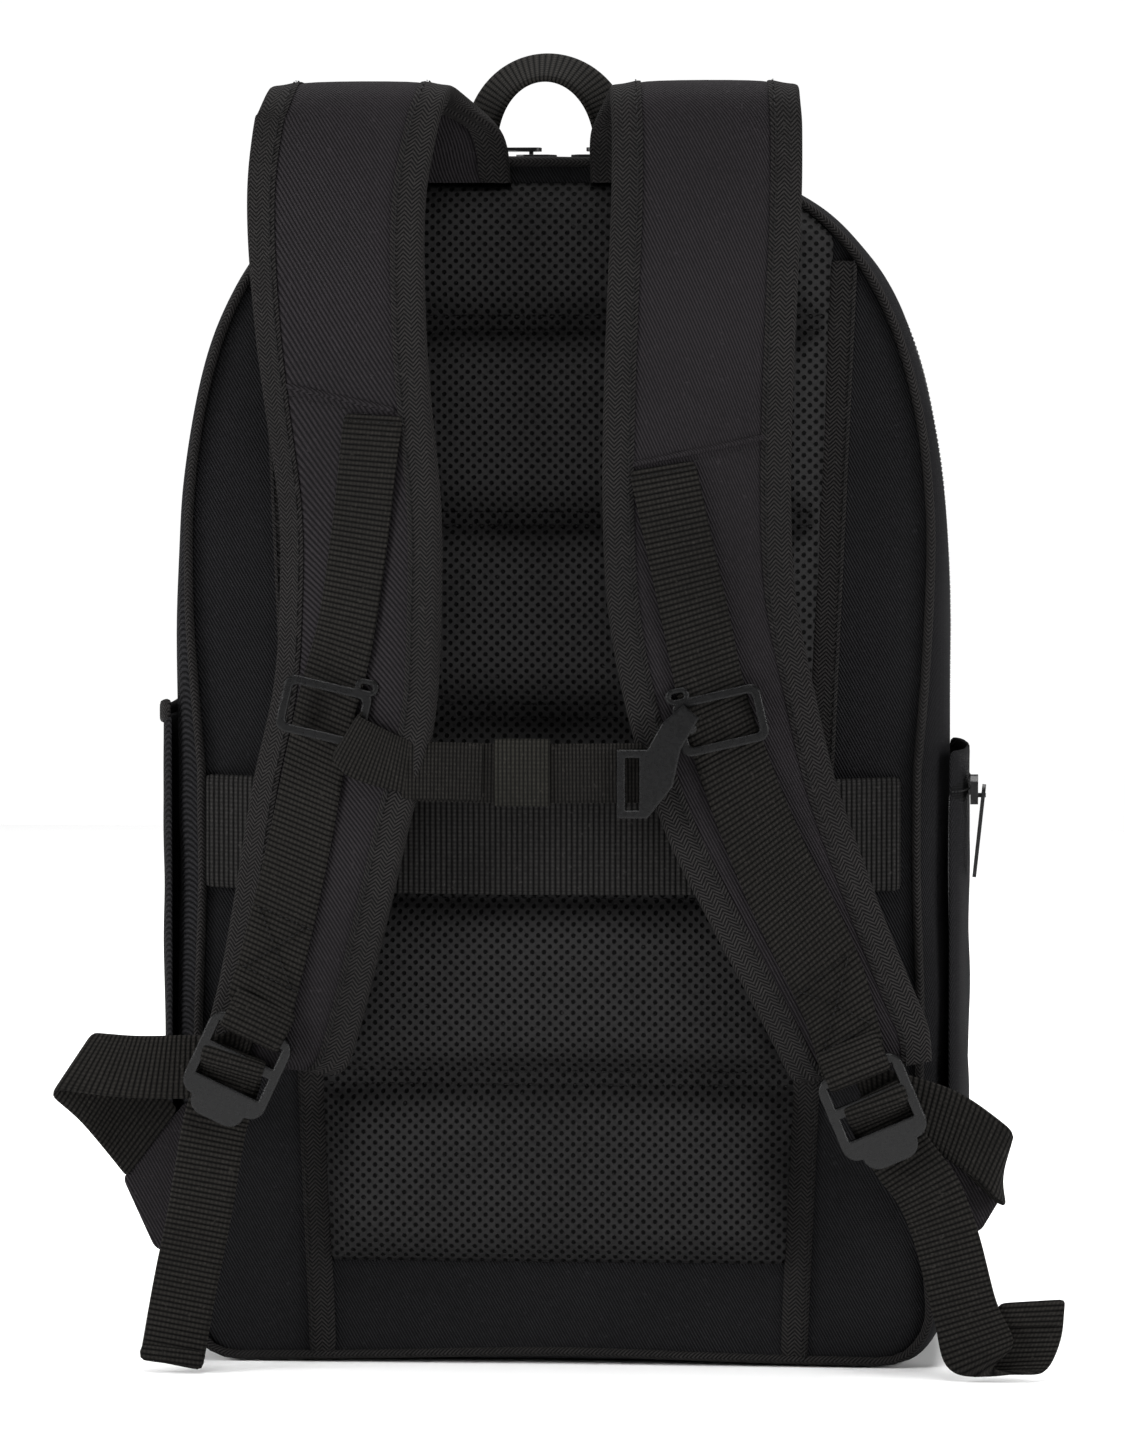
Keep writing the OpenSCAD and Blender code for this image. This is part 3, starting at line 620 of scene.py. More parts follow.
def bead(n: int) -> list[tuple[int, ...]]:
    """The faces of a small bead of three rings of four points, whose points begin at n."""
    around = [(n + s + k, n + s + (k + 1) % 4, n + s + 4 + (k + 1) % 4, n + s + 4 + k)
              for s in (0, 4) for k in range(4)]
    return [*around, (n + 3, n + 2, n + 1, n), (n + 8, n + 9, n + 10, n + 11)]


def stitches(name: str, line: Sequence[Vector], out: Vector = WEARER,
             pitch: float = STITCH_PITCH) -> bpy.types.Object:
    """A row of stitches laid along a line.

    Args:
        name: the object's name.
        line: points on the cloth that the thread follows.
        out: the direction out of the cloth.
        pitch: the distance from stitch to stitch.
    """
    points, faces, carry, r = [], [], 0.0, STITCH_RADIUS
    for a, b in zip(line, line[1:]):
        length = (b - a).length
        if length < 1e-6:
            continue
        d = (b - a) / length
        side = d.cross(out).normalized() * r
        at = carry
        while at < length:
            tip = min(length, at + pitch * 0.68)
            n = len(points)
            for share, rise in ((0.0, 0.1), (0.5, 0.9), (1.0, 0.1)):
                p = a + d * (at + (tip - at) * share) + out * r * rise
                wide = side * (0.5 if share != 0.5 else 1.0)
                points += [p - wide, p + out * r, p + wide, p - out * r]
            faces += bead(n)
            at += pitch
        carry = at - length
    return mesh_object(name, points, faces)


def join(name: str, pieces: Sequence[bpy.types.Object]) -> bpy.types.Object:
    """Joins meshes into one object."""
    points, faces, uvs = [], [], []
    for piece in pieces:
        start = len(points)
        points += [v.co.copy() for v in piece.data.vertices]
        layer = piece.data.uv_layers.active
        for f in piece.data.polygons:
            faces.append([start + v for v in f.vertices])
            uvs += [tuple(layer.data[k].uv) if layer else (0.0, 0.0) for k in f.loop_indices]
        bpy.data.objects.remove(piece)
    made = mesh_object(name, points, faces)
    layer = made.data.uv_layers.new(name="cloth")
    for k, uv in enumerate(uvs):
        layer.data[k].uv = uv
    return made


def sew(name: str, lines: Sequence[Row], body: str | tuple, out: Vector = WEARER,
        pitch: float = STITCH_PITCH) -> None:
    """Lays rows of stitches as one piece.

    Args:
        name: the piece's name.
        lines: the points that each row follows.
        body: the body it rides on, as in dress.
        out: the direction out of the cloth.
        pitch: the distance from stitch to stitch.
    """
    rows = [stitches(f"{name}_{k}", line, out, pitch) for k, line in enumerate(lines)]
    dress(join(name, rows), THREAD, body)


# ---- The bag's shell ----


@dataclass
class BagShell:
    """The gusset, base, front lid, panel and piping, all in millimetres."""

    half_w: float = 150.0
    height: float = 466.0
    depth: float = 155.0
    zip_y: float = 105.0
    arch_z: float = 230.0
    slope_z: float = 300.0
    corner_r: float = 22.0
    hinge_z: float = 60.0
    cloth: float = 2.3
    arch_power: float = 3.4
    slope_power: float = 2.6
    seam: tuple = ((0, 5), (60, 9), (150, 11), (230, 12), (270, 9), (330, 6), (400, 5), (466, 3))

    def side(self, count: int, low: float = 0.0) -> list[tuple[float, float]]:
        """Points [x, z] up the right side, from the bottom's middle or a height, to the top's middle."""
        found: list[tuple[float, float]] = []
        if low <= 0:
            flat = self.half_w - self.corner_r
            found += [(flat * k / 12, 0.0) for k in range(12)]
            found += [(flat + self.corner_r * math.sin(a), self.corner_r * (1 - math.cos(a)))
                      for a in (math.radians(90 * k / 6) for k in range(6))]
            found += [(self.half_w, lerp(self.corner_r, self.hinge_z, k / 5)) for k in range(5)]
        found += [(self.half_w, lerp(self.hinge_z, self.arch_z, k / 18)) for k in range(18)]
        e = 2 / self.arch_power
        for k in range(count + 1):
            a = math.pi / 2 * k / count
            found.append((self.half_w * math.cos(a) ** e if k < count else 0.0,
                          self.arch_z + (self.height - self.arch_z) * math.sin(a) ** e))
        return found

    def ring(self, low: float = 0.0) -> list[tuple[float, float]]:
        """The whole outline from the right side over the top to the left side."""
        right = self.side(40, low)
        return right + [(-x, z) for x, z in reversed(right[:-1])]

    def width(self, z: float) -> float:
        """Half the bag's width at a height."""
        if z <= self.arch_z:
            drop = max(0.0, self.corner_r - z)
            return self.half_w - self.corner_r + math.sqrt(max(0.0, self.corner_r**2 - drop**2))
        share = min(1.0, (z - self.arch_z) / (self.height - self.arch_z))
        return self.half_w * (1 - share**self.arch_power) ** (1 / self.arch_power)

    def front(self, z: float) -> float:
        """How deep the bag is at a height."""
        if z <= self.slope_z:
            return self.depth
        share = min(1.0, (z - self.slope_z) / (self.height - self.slope_z))
        slope = (1 - share**self.slope_power) ** (1 / self.slope_power)
        return self.zip_y + (self.depth - self.zip_y) * slope

    def skin(self, x: float, y: float, z: float, inset: float = 0.0, crease: float = 1.3) -> Vector:
        """A point of the side cloth, drawn in towards the bag's middle and creased."""
        middle = Vector((0, 0, min(z, self.height * 0.5) if z > 40 else 60))
        inward = Vector((middle.x - x, 0, middle.z - z))
        inward = inward.normalized() if inward.length > 1 else Vector((0, 0, 1))
        p = Vector((x, y, z))
        bulge = crumple(p * MM, 0.055, crease) - crease * 0.8
        if z < 4:
            bulge = 0.0
        return (p + inward * (inset - min(0.0, bulge))) * MM

    def seam_inset(self, z: float) -> float:
        """How far the panel's seam lies in from the bag's side at a height."""
        return along(self.seam, z)

    def build(self) -> None:
        """Builds every piece of the shell."""
        self.build_gusset()
        self.build_base_front()
        self.build_lid()
        self.build_panel()
        self.build_zip()

    def build_gusset(self) -> None:
        """The side and top cloth with the base, from the panel's seam to the zip or the base's front."""
        stations = [(0.8, 1.0), (2.5, 0.62), (6, 0.3), (12, 0.08)]
        stations += [(y, 0.0) for y in (22, 34, 46, 58, 70, 82, 92, 101)]
        rows = [[self.skin(x, y, z, self.seam_inset(z) * share) for x, z in self.ring()]
                for y, share in stations]
        upper = grid("gusset_sheet", rows)
        low = [p for p in self.side(1) if p[1] < self.hinge_z - 0.01] + [(self.half_w, self.hinge_z)]
        low = [(-x, z) for x, z in reversed(low[1:])] + low
        stations = ((101, 0), (112, 0), (125, 0), (138, 0), (147, 0.8), (152, 2.6), (154.2, 6))
        rows = [[self.skin(x, y, z, inset) for x, z in low] for y, inset in stations]
        lower = grid("base_sheet", rows)
        cloth = set_solid(weld(join("side_and_base_cloth", [upper, lower])), self.cloth * MM, 0, 1)
        dress(cloth, BODY, "root", "rear_gusset", "base_tub")

    def build_base_front(self) -> None:
        """The base's low front wall, below the lid."""
        rows = []
        for k in range(13):
            z = lerp(2, self.hinge_z, k / 12)
            half = self.width(z) - 4
            rows.append([mm(half * s, self.depth - 1 - 2.5 * abs(s) ** 8, z)
                         for s in (c / 20 - 1 for c in range(41))])
        dress(cloth_sheet("base_front_cloth", rows, self.cloth * MM), BODY, "root")

    def build_lid(self) -> None:
        """The front panel with its own side cloth, which opens as one lid."""
        low = self.hinge_z + 0.6
        ring = [(x, max(z, low)) for x, z in self.ring(low)]
        rows = []
        for share in (0.0, 0.2, 0.4, 0.6, 0.8, 0.92, 1.0):
            row = []
            for x, z in ring:
                front = max(self.front(z), self.zip_y + 5)
                y = lerp(self.zip_y + 4, front - 1, share)
                row.append(self.skin(x, y, z, 5.0 * max(0.0, share - 0.75) * 4 * (1 if z > low + 1 else 0.2)))
            rows.append(row)
        side, rim = grid("lid_side", rows), rows[-1]
        rows = []
        for k in range(len(ring) // 2 + 1):
            right, left = rim[k], rim[-1 - k]
            row = []
            for c in range(33):
                t = c / 32
                p = right.lerp(left, t)
                bow = 4 * t * (1 - t)
                p.y += MM * (3.2 * bow**0.5 + crumple(p, 0.09, 1.6) * bow)
                row.append(p)
            rows.append(row)
        face = grid("lid_face", rows)
        lid = set_solid(weld(join("lid_cloth", [side, face])), self.cloth * MM, 0, 1, 2)
        dress(lid, BODY, "lid", "front_shell")

    def seam_line(self, grow: float = 0.0, y: float = -0.6) -> list[Vector]:
        """The closed line of the panel's seam."""
        found = []
        for x, z in self.ring():
            p = self.skin(x, 0.0, z, self.seam_inset(z) + grow, 0.6)
            found.append(Vector((p.x, y * MM, max(p.z, 0.0016))))
        return found

    def build_panel(self) -> None:
        """The twill panel against the wearer's back, and the piping round it."""
        line = self.seam_line()
        rows = []
        for k in range(len(line) // 2 + 1):
            right, left = line[k], line[-1 - k]
            row = []
            for c in range(41):
                t = c / 40
                p = right.lerp(left, t)
                p.y = MM * (1.7 - 1.5 * min(1.0, 8 * t * (1 - t)) ** 0.5 + crumple(p, 0.05, 0.8))
                row.append(p)
            rows.append(row)
        dress(cloth_sheet("back_panel_cloth", rows, 0.0016), BODY, "root", "back_panel")
        points, r = self.seam_line(-0.5, -0.9), 1.75
        tube = []
        for k, p in enumerate(points + points[:1]):
            ahead = (points[(k + 1) % len(points)] - points[(k - 1) % len(points)]).normalized()
            out = ahead.cross(-WEARER).normalized()
            tube.append([p + MM * r * (out * math.cos(a) + Vector((0, math.sin(a), 0)))
                         for a in (math.tau * s / 10 for s in range(10))])
        dress(grid("panel_piping", tube, True), BINDING, "root", "rear_piping")

    def build_zip(self) -> None:
        """Both halves of the main zip: a tape and its row of teeth, on the bag and on the lid."""
        for name, body, sign, node in (("main_zip_bag_half", "root", -1, "main_zip_rear"),
                                       ("main_zip_lid_half", "lid", 1, "main_zip_front")):
            ring = [(x, max(z, self.hinge_z + (0.6 if sign > 0 else 0))) for x, z in self.ring(self.hinge_z)]
            rows = [[self.skin(x, self.zip_y + sign * y, z, -up, 0.8) for x, z in ring]
                    for y, up in ((6.5, -0.3), (3.2, -0.2), (1.4, -0.3), (0.4, -0.5))]
            dress(cloth_sheet(name + "_tape", rows, ZIP_TAPE_THICK), ZIP_TAPE, body, node)
            line = [self.skin(x, self.zip_y + sign * 0.9, z, 0.1, 0.8) for x, z in ring]
            dress(self.teeth(name + "_teeth", line, sign), TEETH, body)

    @staticmethod
    def teeth(name: str, line: Sequence[Vector], sign: int, pitch: float = 0.0019) -> bpy.types.Object:
        """A row of small rounded teeth across a zip line."""
        points, faces, carry = [], [], 0.0
        for a, b in zip(line, line[1:]):
            length = (b - a).length
            d = (b - a) / length
            across = Vector((0, sign, 0))
            up = d.cross(across).normalized()
            if up.dot(a - Vector((0, a.y, 0.25))) < 0:
                up = -up
            at = carry
            while at < length:
                n = len(points)
                for back, rise in ((-0.0002, 0.0004), (0.0016, 0.0010), (0.0028, 0.0002)):
                    p = a + d * at + across * back + up * rise
                    points += [p - d * 0.00055, p + up * 0.0005, p + d * 0.00055, p - up * 0.0005]
                faces += bead(n)
                at += pitch
            carry = at - length
        return mesh_object(name, points, faces)


# ---- Back padding ----


@dataclass
class BackPadding:
    """The air-mesh field with its sewn channels, the tapes beside it and the trolley band."""

    low: float = 40.0
    high: float = 454.5
    arch_margin: float = 9.0
    half_low: float = 88.0
    half_high: float = 106.0
    swell: float = 11.5
    channels: tuple = (111.0, 183.0, 252.6, 326.5, 401.6)
    band_low: float = 184.0
    band_high: float = 228.0
    band_left: float = -137.0
    band_right: float = 132.0
    tape: float = 10.5
    rows: int = 203
    half_columns: int = 30

    def half(self, z: float) -> float:
        """Half the mesh's width at a height."""
        straight = lerp(self.half_low, self.half_high, (z - self.low) / (self.high - self.low))
        return min(straight, BagShell().width(z) - self.arch_margin)

    def rise(self, x: float, z: float) -> float:
        """How far the padding stands out at a place."""
        lines = (self.low - 4, *self.channels, self.high + 4)
        for a, b in zip(lines, lines[1:]):
            if a <= z <= b:
                edge = min(z - a, b - z) - 4
                edge = min(edge, self.half(z) - abs(x) - 1.5)
                full = self.swell
                if b == self.channels[2]:
                    full = 5.0 * ease((z - self.band_high + 2) / 8)
                return 1.0 + full * (1 - (1 - min(1.0, max(0.0, edge / 17))) ** 2.6)
        return 1.0

    def build(self) -> None:
        """Builds the mesh, tapes and band."""
        rows = []
        for k in range(self.rows + 1):
            z = lerp(self.low, self.high, k / self.rows)
            half = self.half(z)
            row = []
            for c in range(2 * self.half_columns + 1):
                x = half * (c / self.half_columns - 1)
                p = mm(x, 0, z)
                p.y = -MM * max(1.0, self.rise(x, z) + crumple(p, 0.03, 0.5))
                row.append(p)
            rows.append(row)
        mesh = set_solid(grid("air_mesh_cover", rows), 0.0012, 0, 0)
        dress(mesh, SPACER, "root", "air_mesh", "back_pads")
        seams = []
        for z in (*self.channels, self.low + 3):
            for shift in (-2.6, 2.6):
                if z + shift < self.low + 1:
                    continue
                half = self.half(z) - 2
                seams.append([mm(half * (c / 24 - 1), -1.9, z + shift) for c in range(49)])
        sew("mesh_stitching", seams, "root")
        for side, name in ((-1, "left"), (1, "right")):
            self.build_tape(side, name)
        self.build_band()

    def build_tape(self, side: int, name: str) -> None:
        """The herringbone tape down one side of the mesh to the bottom seam."""
        path = []
        for k in range(30):
            z = lerp(3, self.high - 29, k / 29)
            half = self.half(max(z, self.low - 30))
            path.append([side * (half + self.tape / 2 - 0.5), -1.4 - 0.3 * math.sin(z / 31), z])
        tape = ribbon(f"mesh_tape_{name}", flat_edges(path, self.tape), 0.001, 4)
        dress(tape, BINDING, "root", f"panel_tape_{name}")
        line = [mm(p[0] + side * (self.tape / 2 - 1.3), p[1] - 0.6, p[2]) for p in path]
        dress(stitches(f"tape_stitching_{name}", line), THREAD, "root")

    def build_band(self) -> None:
        """The ribbed band that a suitcase's handle slips behind."""
        edges = []
        for k in range(64):
            t = k / 63
            x = lerp(self.band_left, self.band_right, t)
            reach = ease((x - self.band_left) / 34) * ease((self.band_right - x) / 30)
            y = -1.6 - 10.2 * reach
            sag = 1.6 * math.sin(math.pi * t)
            edges.append((mm(x, y - 0.3, self.band_low - sag), mm(x, y + 0.2, self.band_high - sag * 0.4)))
        dress(ribbon("trolley_band_webbing", edges, 0.0016, 10, 0.005), BAND, "root", "trolley_band")
        rows = [[mm(x, -7.6, lerp(self.band_low + 3, self.band_high - 3, k / 8)) for k in range(9)]
                for x in (-117, 116)]
        sew("band_stitching", rows, "root")


# ---- Shoulder straps ----


@dataclass
class ShoulderStrap:
    """One padded strap with its binding, cross seam and sewn-on webbing, in millimetres."""

    name: str
    path: list
    root: list
    webbing: list
    twist: float
    seam: list
    width: float = 70.0
    end_width: float = 54.0
    thick: float = 9.0
    low: float = 117.0
    arch_z: float = 475.0
    root_z: float = 455.0
    arch_y: float = -21.5
    arch_r: float = 13.5
    bend: tuple = (300.0, 11.0, -24.0)
    webbing_width: float = 25.0
    tape: float = 10.5
    stitch_inset: float = 8.6
    hanging_steps: int = 76

    def depth(self, z: float) -> float:
        """The depth of the hanging strap's middle at a height."""
        return self.bend[2] - self.bend[1] * ease((z - self.bend[0]) / (self.arch_z - self.bend[0]))

    def stations(self) -> list[Station]:
        """Middle, sideways direction, outward direction and width at steps from the lower end to the root."""
        found = []
        for k in range(self.hanging_steps + 1):
            z = lerp(self.low, self.arch_z, k / self.hanging_steps)
            slope = (along(self.path, z + 2) - along(self.path, z - 2)) / 4
            side = Vector((1, 0, -slope * 0.8)).normalized()
            dip = (self.depth(z + 2) - self.depth(z - 2)) / 4
            out = Vector((0, -1, dip)).normalized()
            turn = math.radians(self.twist) * math.sin(math.pi * min(1.0, max(0.0, (z - self.low) / 380)))
            c, s = math.cos(turn), math.sin(turn)
            side, out = side * c + out * s, out * c - side * s
            width = lerp(self.end_width, self.width, ease((z - self.low) / 150))
            if z < self.low + 8:
                width *= 0.86 + 0.14 * math.sqrt((z - self.low) / 8)
            found.append((Vector((along(self.path, z), self.depth(z), z)), side, out, width))
        for k in range(1, 13):
            a = math.pi * k / 12
            z = self.arch_z + self.arch_r * math.sin(a)
            share = ease(k / 12)
            x = lerp(along(self.path, z), along(self.root, z), share)
            out = Vector((0, -math.cos(a), math.sin(a)))
            middle = Vector((x, self.arch_y - self.arch_r * math.cos(a), z))
            found.append((middle, Vector((1, 0, 0)), out, self.width))
        for k in range(1, 6):
            z = lerp(self.arch_z, self.root_z, k / 5)
            y = lerp(self.arch_y + self.arch_r, -3.5, ease(k / 5))
            found.append((Vector((along(self.root, z), y, z)), Vector((1, 0, 0)), Vector((0, 1, 0)),
                          lerp(self.width, 66, k / 5)))
        return found

    def joint(self) -> tuple:
        """The two bodies that the strap's cloth joins, and where it passes from one to the other."""
        x = along(self.path, self.arch_z)
        return ("root", f"strap_{self.name}", mm(x, -10, 480), mm(x, -32, 475))

    @staticmethod
    def edge(x: float, width: float) -> float:
        """The share of its thickness that the padding keeps this far from its middle."""
        return 1 - 0.42 * ease((abs(x) - width / 2 + 13) / 11)

    def rise(self, x: float, width: float) -> float:
        """How far the outer face lies from the strap's middle."""
        return self.thick / 2 * self.edge(x, width) * (0.9 + 0.14 * (1 - (2 * x / width) ** 2))

    def section(self, at: Station) -> list[Vector]:
        """The closed outline of the padding across one station."""
        middle, side, out, width = at
        row = []
        for a in (math.tau * k / 32 for k in range(32)):
            x = power(math.cos(a), 0.35) * (width / 2)
            row.append(MM * (middle + side * x + out * power(math.sin(a), 0.5) * self.rise(x, width)))
        return row

    def build(self) -> None:
        """Builds the strap's padding, binding, cross seam and webbing."""
        stations = self.stations()
        rows = [self.section(s) for s in stations]
        middle = sum(rows[0], Vector()) / len(rows[0])
        rows.insert(0, [p.lerp(middle, 0.6) for p in rows[0]])
        rows = [[rumpled(p) for p in row] for row in rows]
        pad = cloth_sheet(f"strap_padding_{self.name}", rows, 0, True)
        dress(pad, STRAP, self.joint(), f"shoulder_pad_{self.name}", f"strap_root_{self.name}")
        self.build_binding(stations)
        self.build_seam(stations)
        self.build_webbing(stations)

    def face(self, at: Station, across: float, up: float) -> Vector:
        """A point on the strap's outer face.

        Args:
            at: a station.
            across: millimetres from the middle.
            up: how far it stands off the face.
        """
        middle, side, out, width = at
        return rumpled(MM * (middle + side * across + out * (self.rise(across, width) + up)))

    def build_seam(self, stations: list) -> None:
        """The seam across the strap where its lower cloth begins, with a row of stitches below it."""
        (z0, x0), (z1, x1) = self.seam
        fold, thread = [], []
        for k in range(25):
            t = k / 24
            x, z = lerp(x0, x1, t), lerp(z0, z1, t)
            at = min(stations[:self.hanging_steps + 1], key=lambda s: abs(s[0].z - z))
            rise = [self.face(at, x - at[0].x, up) for up in (0.0, 0.8, 0.8, -0.1)]
            for p, drop in zip(rise, (1.8, 1.0, 0.0, -0.4)):
                p.z = (z + drop) * MM
            fold.append(rise)
            low = self.face(at, x - at[0].x, 0.9)
            low.z = (z - 3.0) * MM
            thread.append(low)
        dress(cloth_sheet(f"strap_seam_{self.name}", fold, 0.0005), STRAP, f"strap_{self.name}")
        dress(stitches(f"seam_stitching_{self.name}", thread), THREAD, f"strap_{self.name}")

    def build_binding(self, stations: list) -> None:
        """The tape folded round both edges, with a row of stitches along its inner border."""
        tapes, seams = [], []
        for sign in (-1, 1):
            rows = []
            for at in stations:
                middle, side, out, width = at
                w = width / 2
                row = [self.face(at, sign * (w - reach), 0.75 if reach < 10 else 0.2)
                       for reach in (self.tape, 9.6, 6.5, 3.2, 1.0)]
                for angle in (60, 20, -20, -60):
                    c, s = math.cos(math.radians(angle)), math.sin(math.radians(angle))
                    round_ = side * sign * (w + 0.5 + 0.9 * c) + out * s * (self.thick * 0.3 + 0.4)
                    row.append(rumpled(MM * (middle + round_)))
                for reach in (1.0, 5.0, self.tape):
                    behind = self.thick / 2 * self.edge(w - reach, width) + 0.7
                    row.append(rumpled(MM * (middle + side * sign * (w - reach) - out * behind)))
                rows.append(row)
            tapes.append(cloth_sheet(f"tape_{sign}", rows, 0))
            seams.append([self.face(at, sign * (at[3] / 2 - self.stitch_inset), 1.0) for at in stations])
        tape = join(f"strap_binding_tape_{self.name}", tapes)
        dress(tape, BINDING, self.joint(), f"strap_binding_{self.name}")
        sew(f"strap_stitching_{self.name}", seams, self.joint(), Vector((0, -1, 0.05)).normalized())

    def build_webbing(self, stations: list) -> None:
        """The webbing sewn down the strap, with its stitched box and cross."""
        edges = []
        high, half = self.webbing[-1][0], self.webbing_width / 2
        for at in stations[:self.hanging_steps + 2]:
            z = at[0].z
            if self.webbing[0][0] - 4 <= z <= high:
                across = along(self.webbing, z) - at[0].x
                slope = (along(self.webbing, z + 3) - along(self.webbing, z - 3)) / 6
                lift = max(0.0, self.webbing[0][0] + 22 - z) / 22
                tilt = Vector((0, 0, -slope * 11.5)) * MM
                pair = []
                for s in (-half, half):
                    p = self.face(at, across + s, 1.5 + lift)
                    if abs(across + s) > at[3] / 2:
                        p = MM * Vector((at[0].x + across + s, at[0].y - 5.9 - lift, z))
                    pair.append(p + tilt * (s / half))
                edges.append((pair[0], pair[1]))
        body = f"strap_{self.name}"
        dress(ribbon(f"strap_webbing_run_{self.name}", edges, 0.0015, 6, 0.005), WEBBING, body)
        raised, low, high = Vector((0, -0.0011, 0)), edges[3], edges[8]
        top = [p + raised + Vector((0, 0, -0.003)) for p in self.cross_line(edges[-1])]
        lines = [top, [p + raised for p in self.cross_line(low)]]
        for start, end in ((0.12, 0.88), (0.88, 0.12)):
            spots = [(lerp(start, end, t / 6), t / 6) for t in range(7)]
            lines.append([low[0].lerp(low[1], u).lerp(high[0].lerp(high[1], u), v) + raised
                          for u, v in spots])
        lines.append([p + raised for p in self.cross_line(high)])
        sew(f"webbing_stitching_{self.name}", lines, body, pitch=0.0024)

    @staticmethod
    def cross_line(ends: tuple[Vector, Vector]) -> list[Vector]:
        """Nine even points from edge to edge of the webbing."""
        return [ends[0].lerp(ends[1], t / 8) for t in range(9)]


LEFT = ShoulderStrap(
    "left", [[117, -108], [144, -100.5], [181, -92.5], [219, -85], [256, -76.5], [294, -74], [331, -74],
             [369, -78], [406, -81], [451, -81.5], [487, -76], [496, -75]],
    [[456, -52], [475, -56], [492, -74]],
    [[136, -113], [149, -109], [199, -96.5], [254, -85], [288, -76], [368, -64]], 24.0,
    [(377, -102), (367.5, -56)], width=67.0)
RIGHT = ShoulderStrap(
    "right", [[117, 120], [144, 107.5], [181, 90.5], [219, 74.5], [256, 64], [294, 56.5], [331, 54.5],
              [369, 55], [406, 56.5], [451, 58.5], [487, 58.5]],
    [[456, 47], [475, 49], [492, 57]],
    [[121, 114.5], [149, 106], [199, 82], [251, 62.5], [288, 54], [350, 40.5]], -6.0,
    [(347, 30), (357.5, 80)], width=69.0)


# ---- Loose webbing and fittings ----


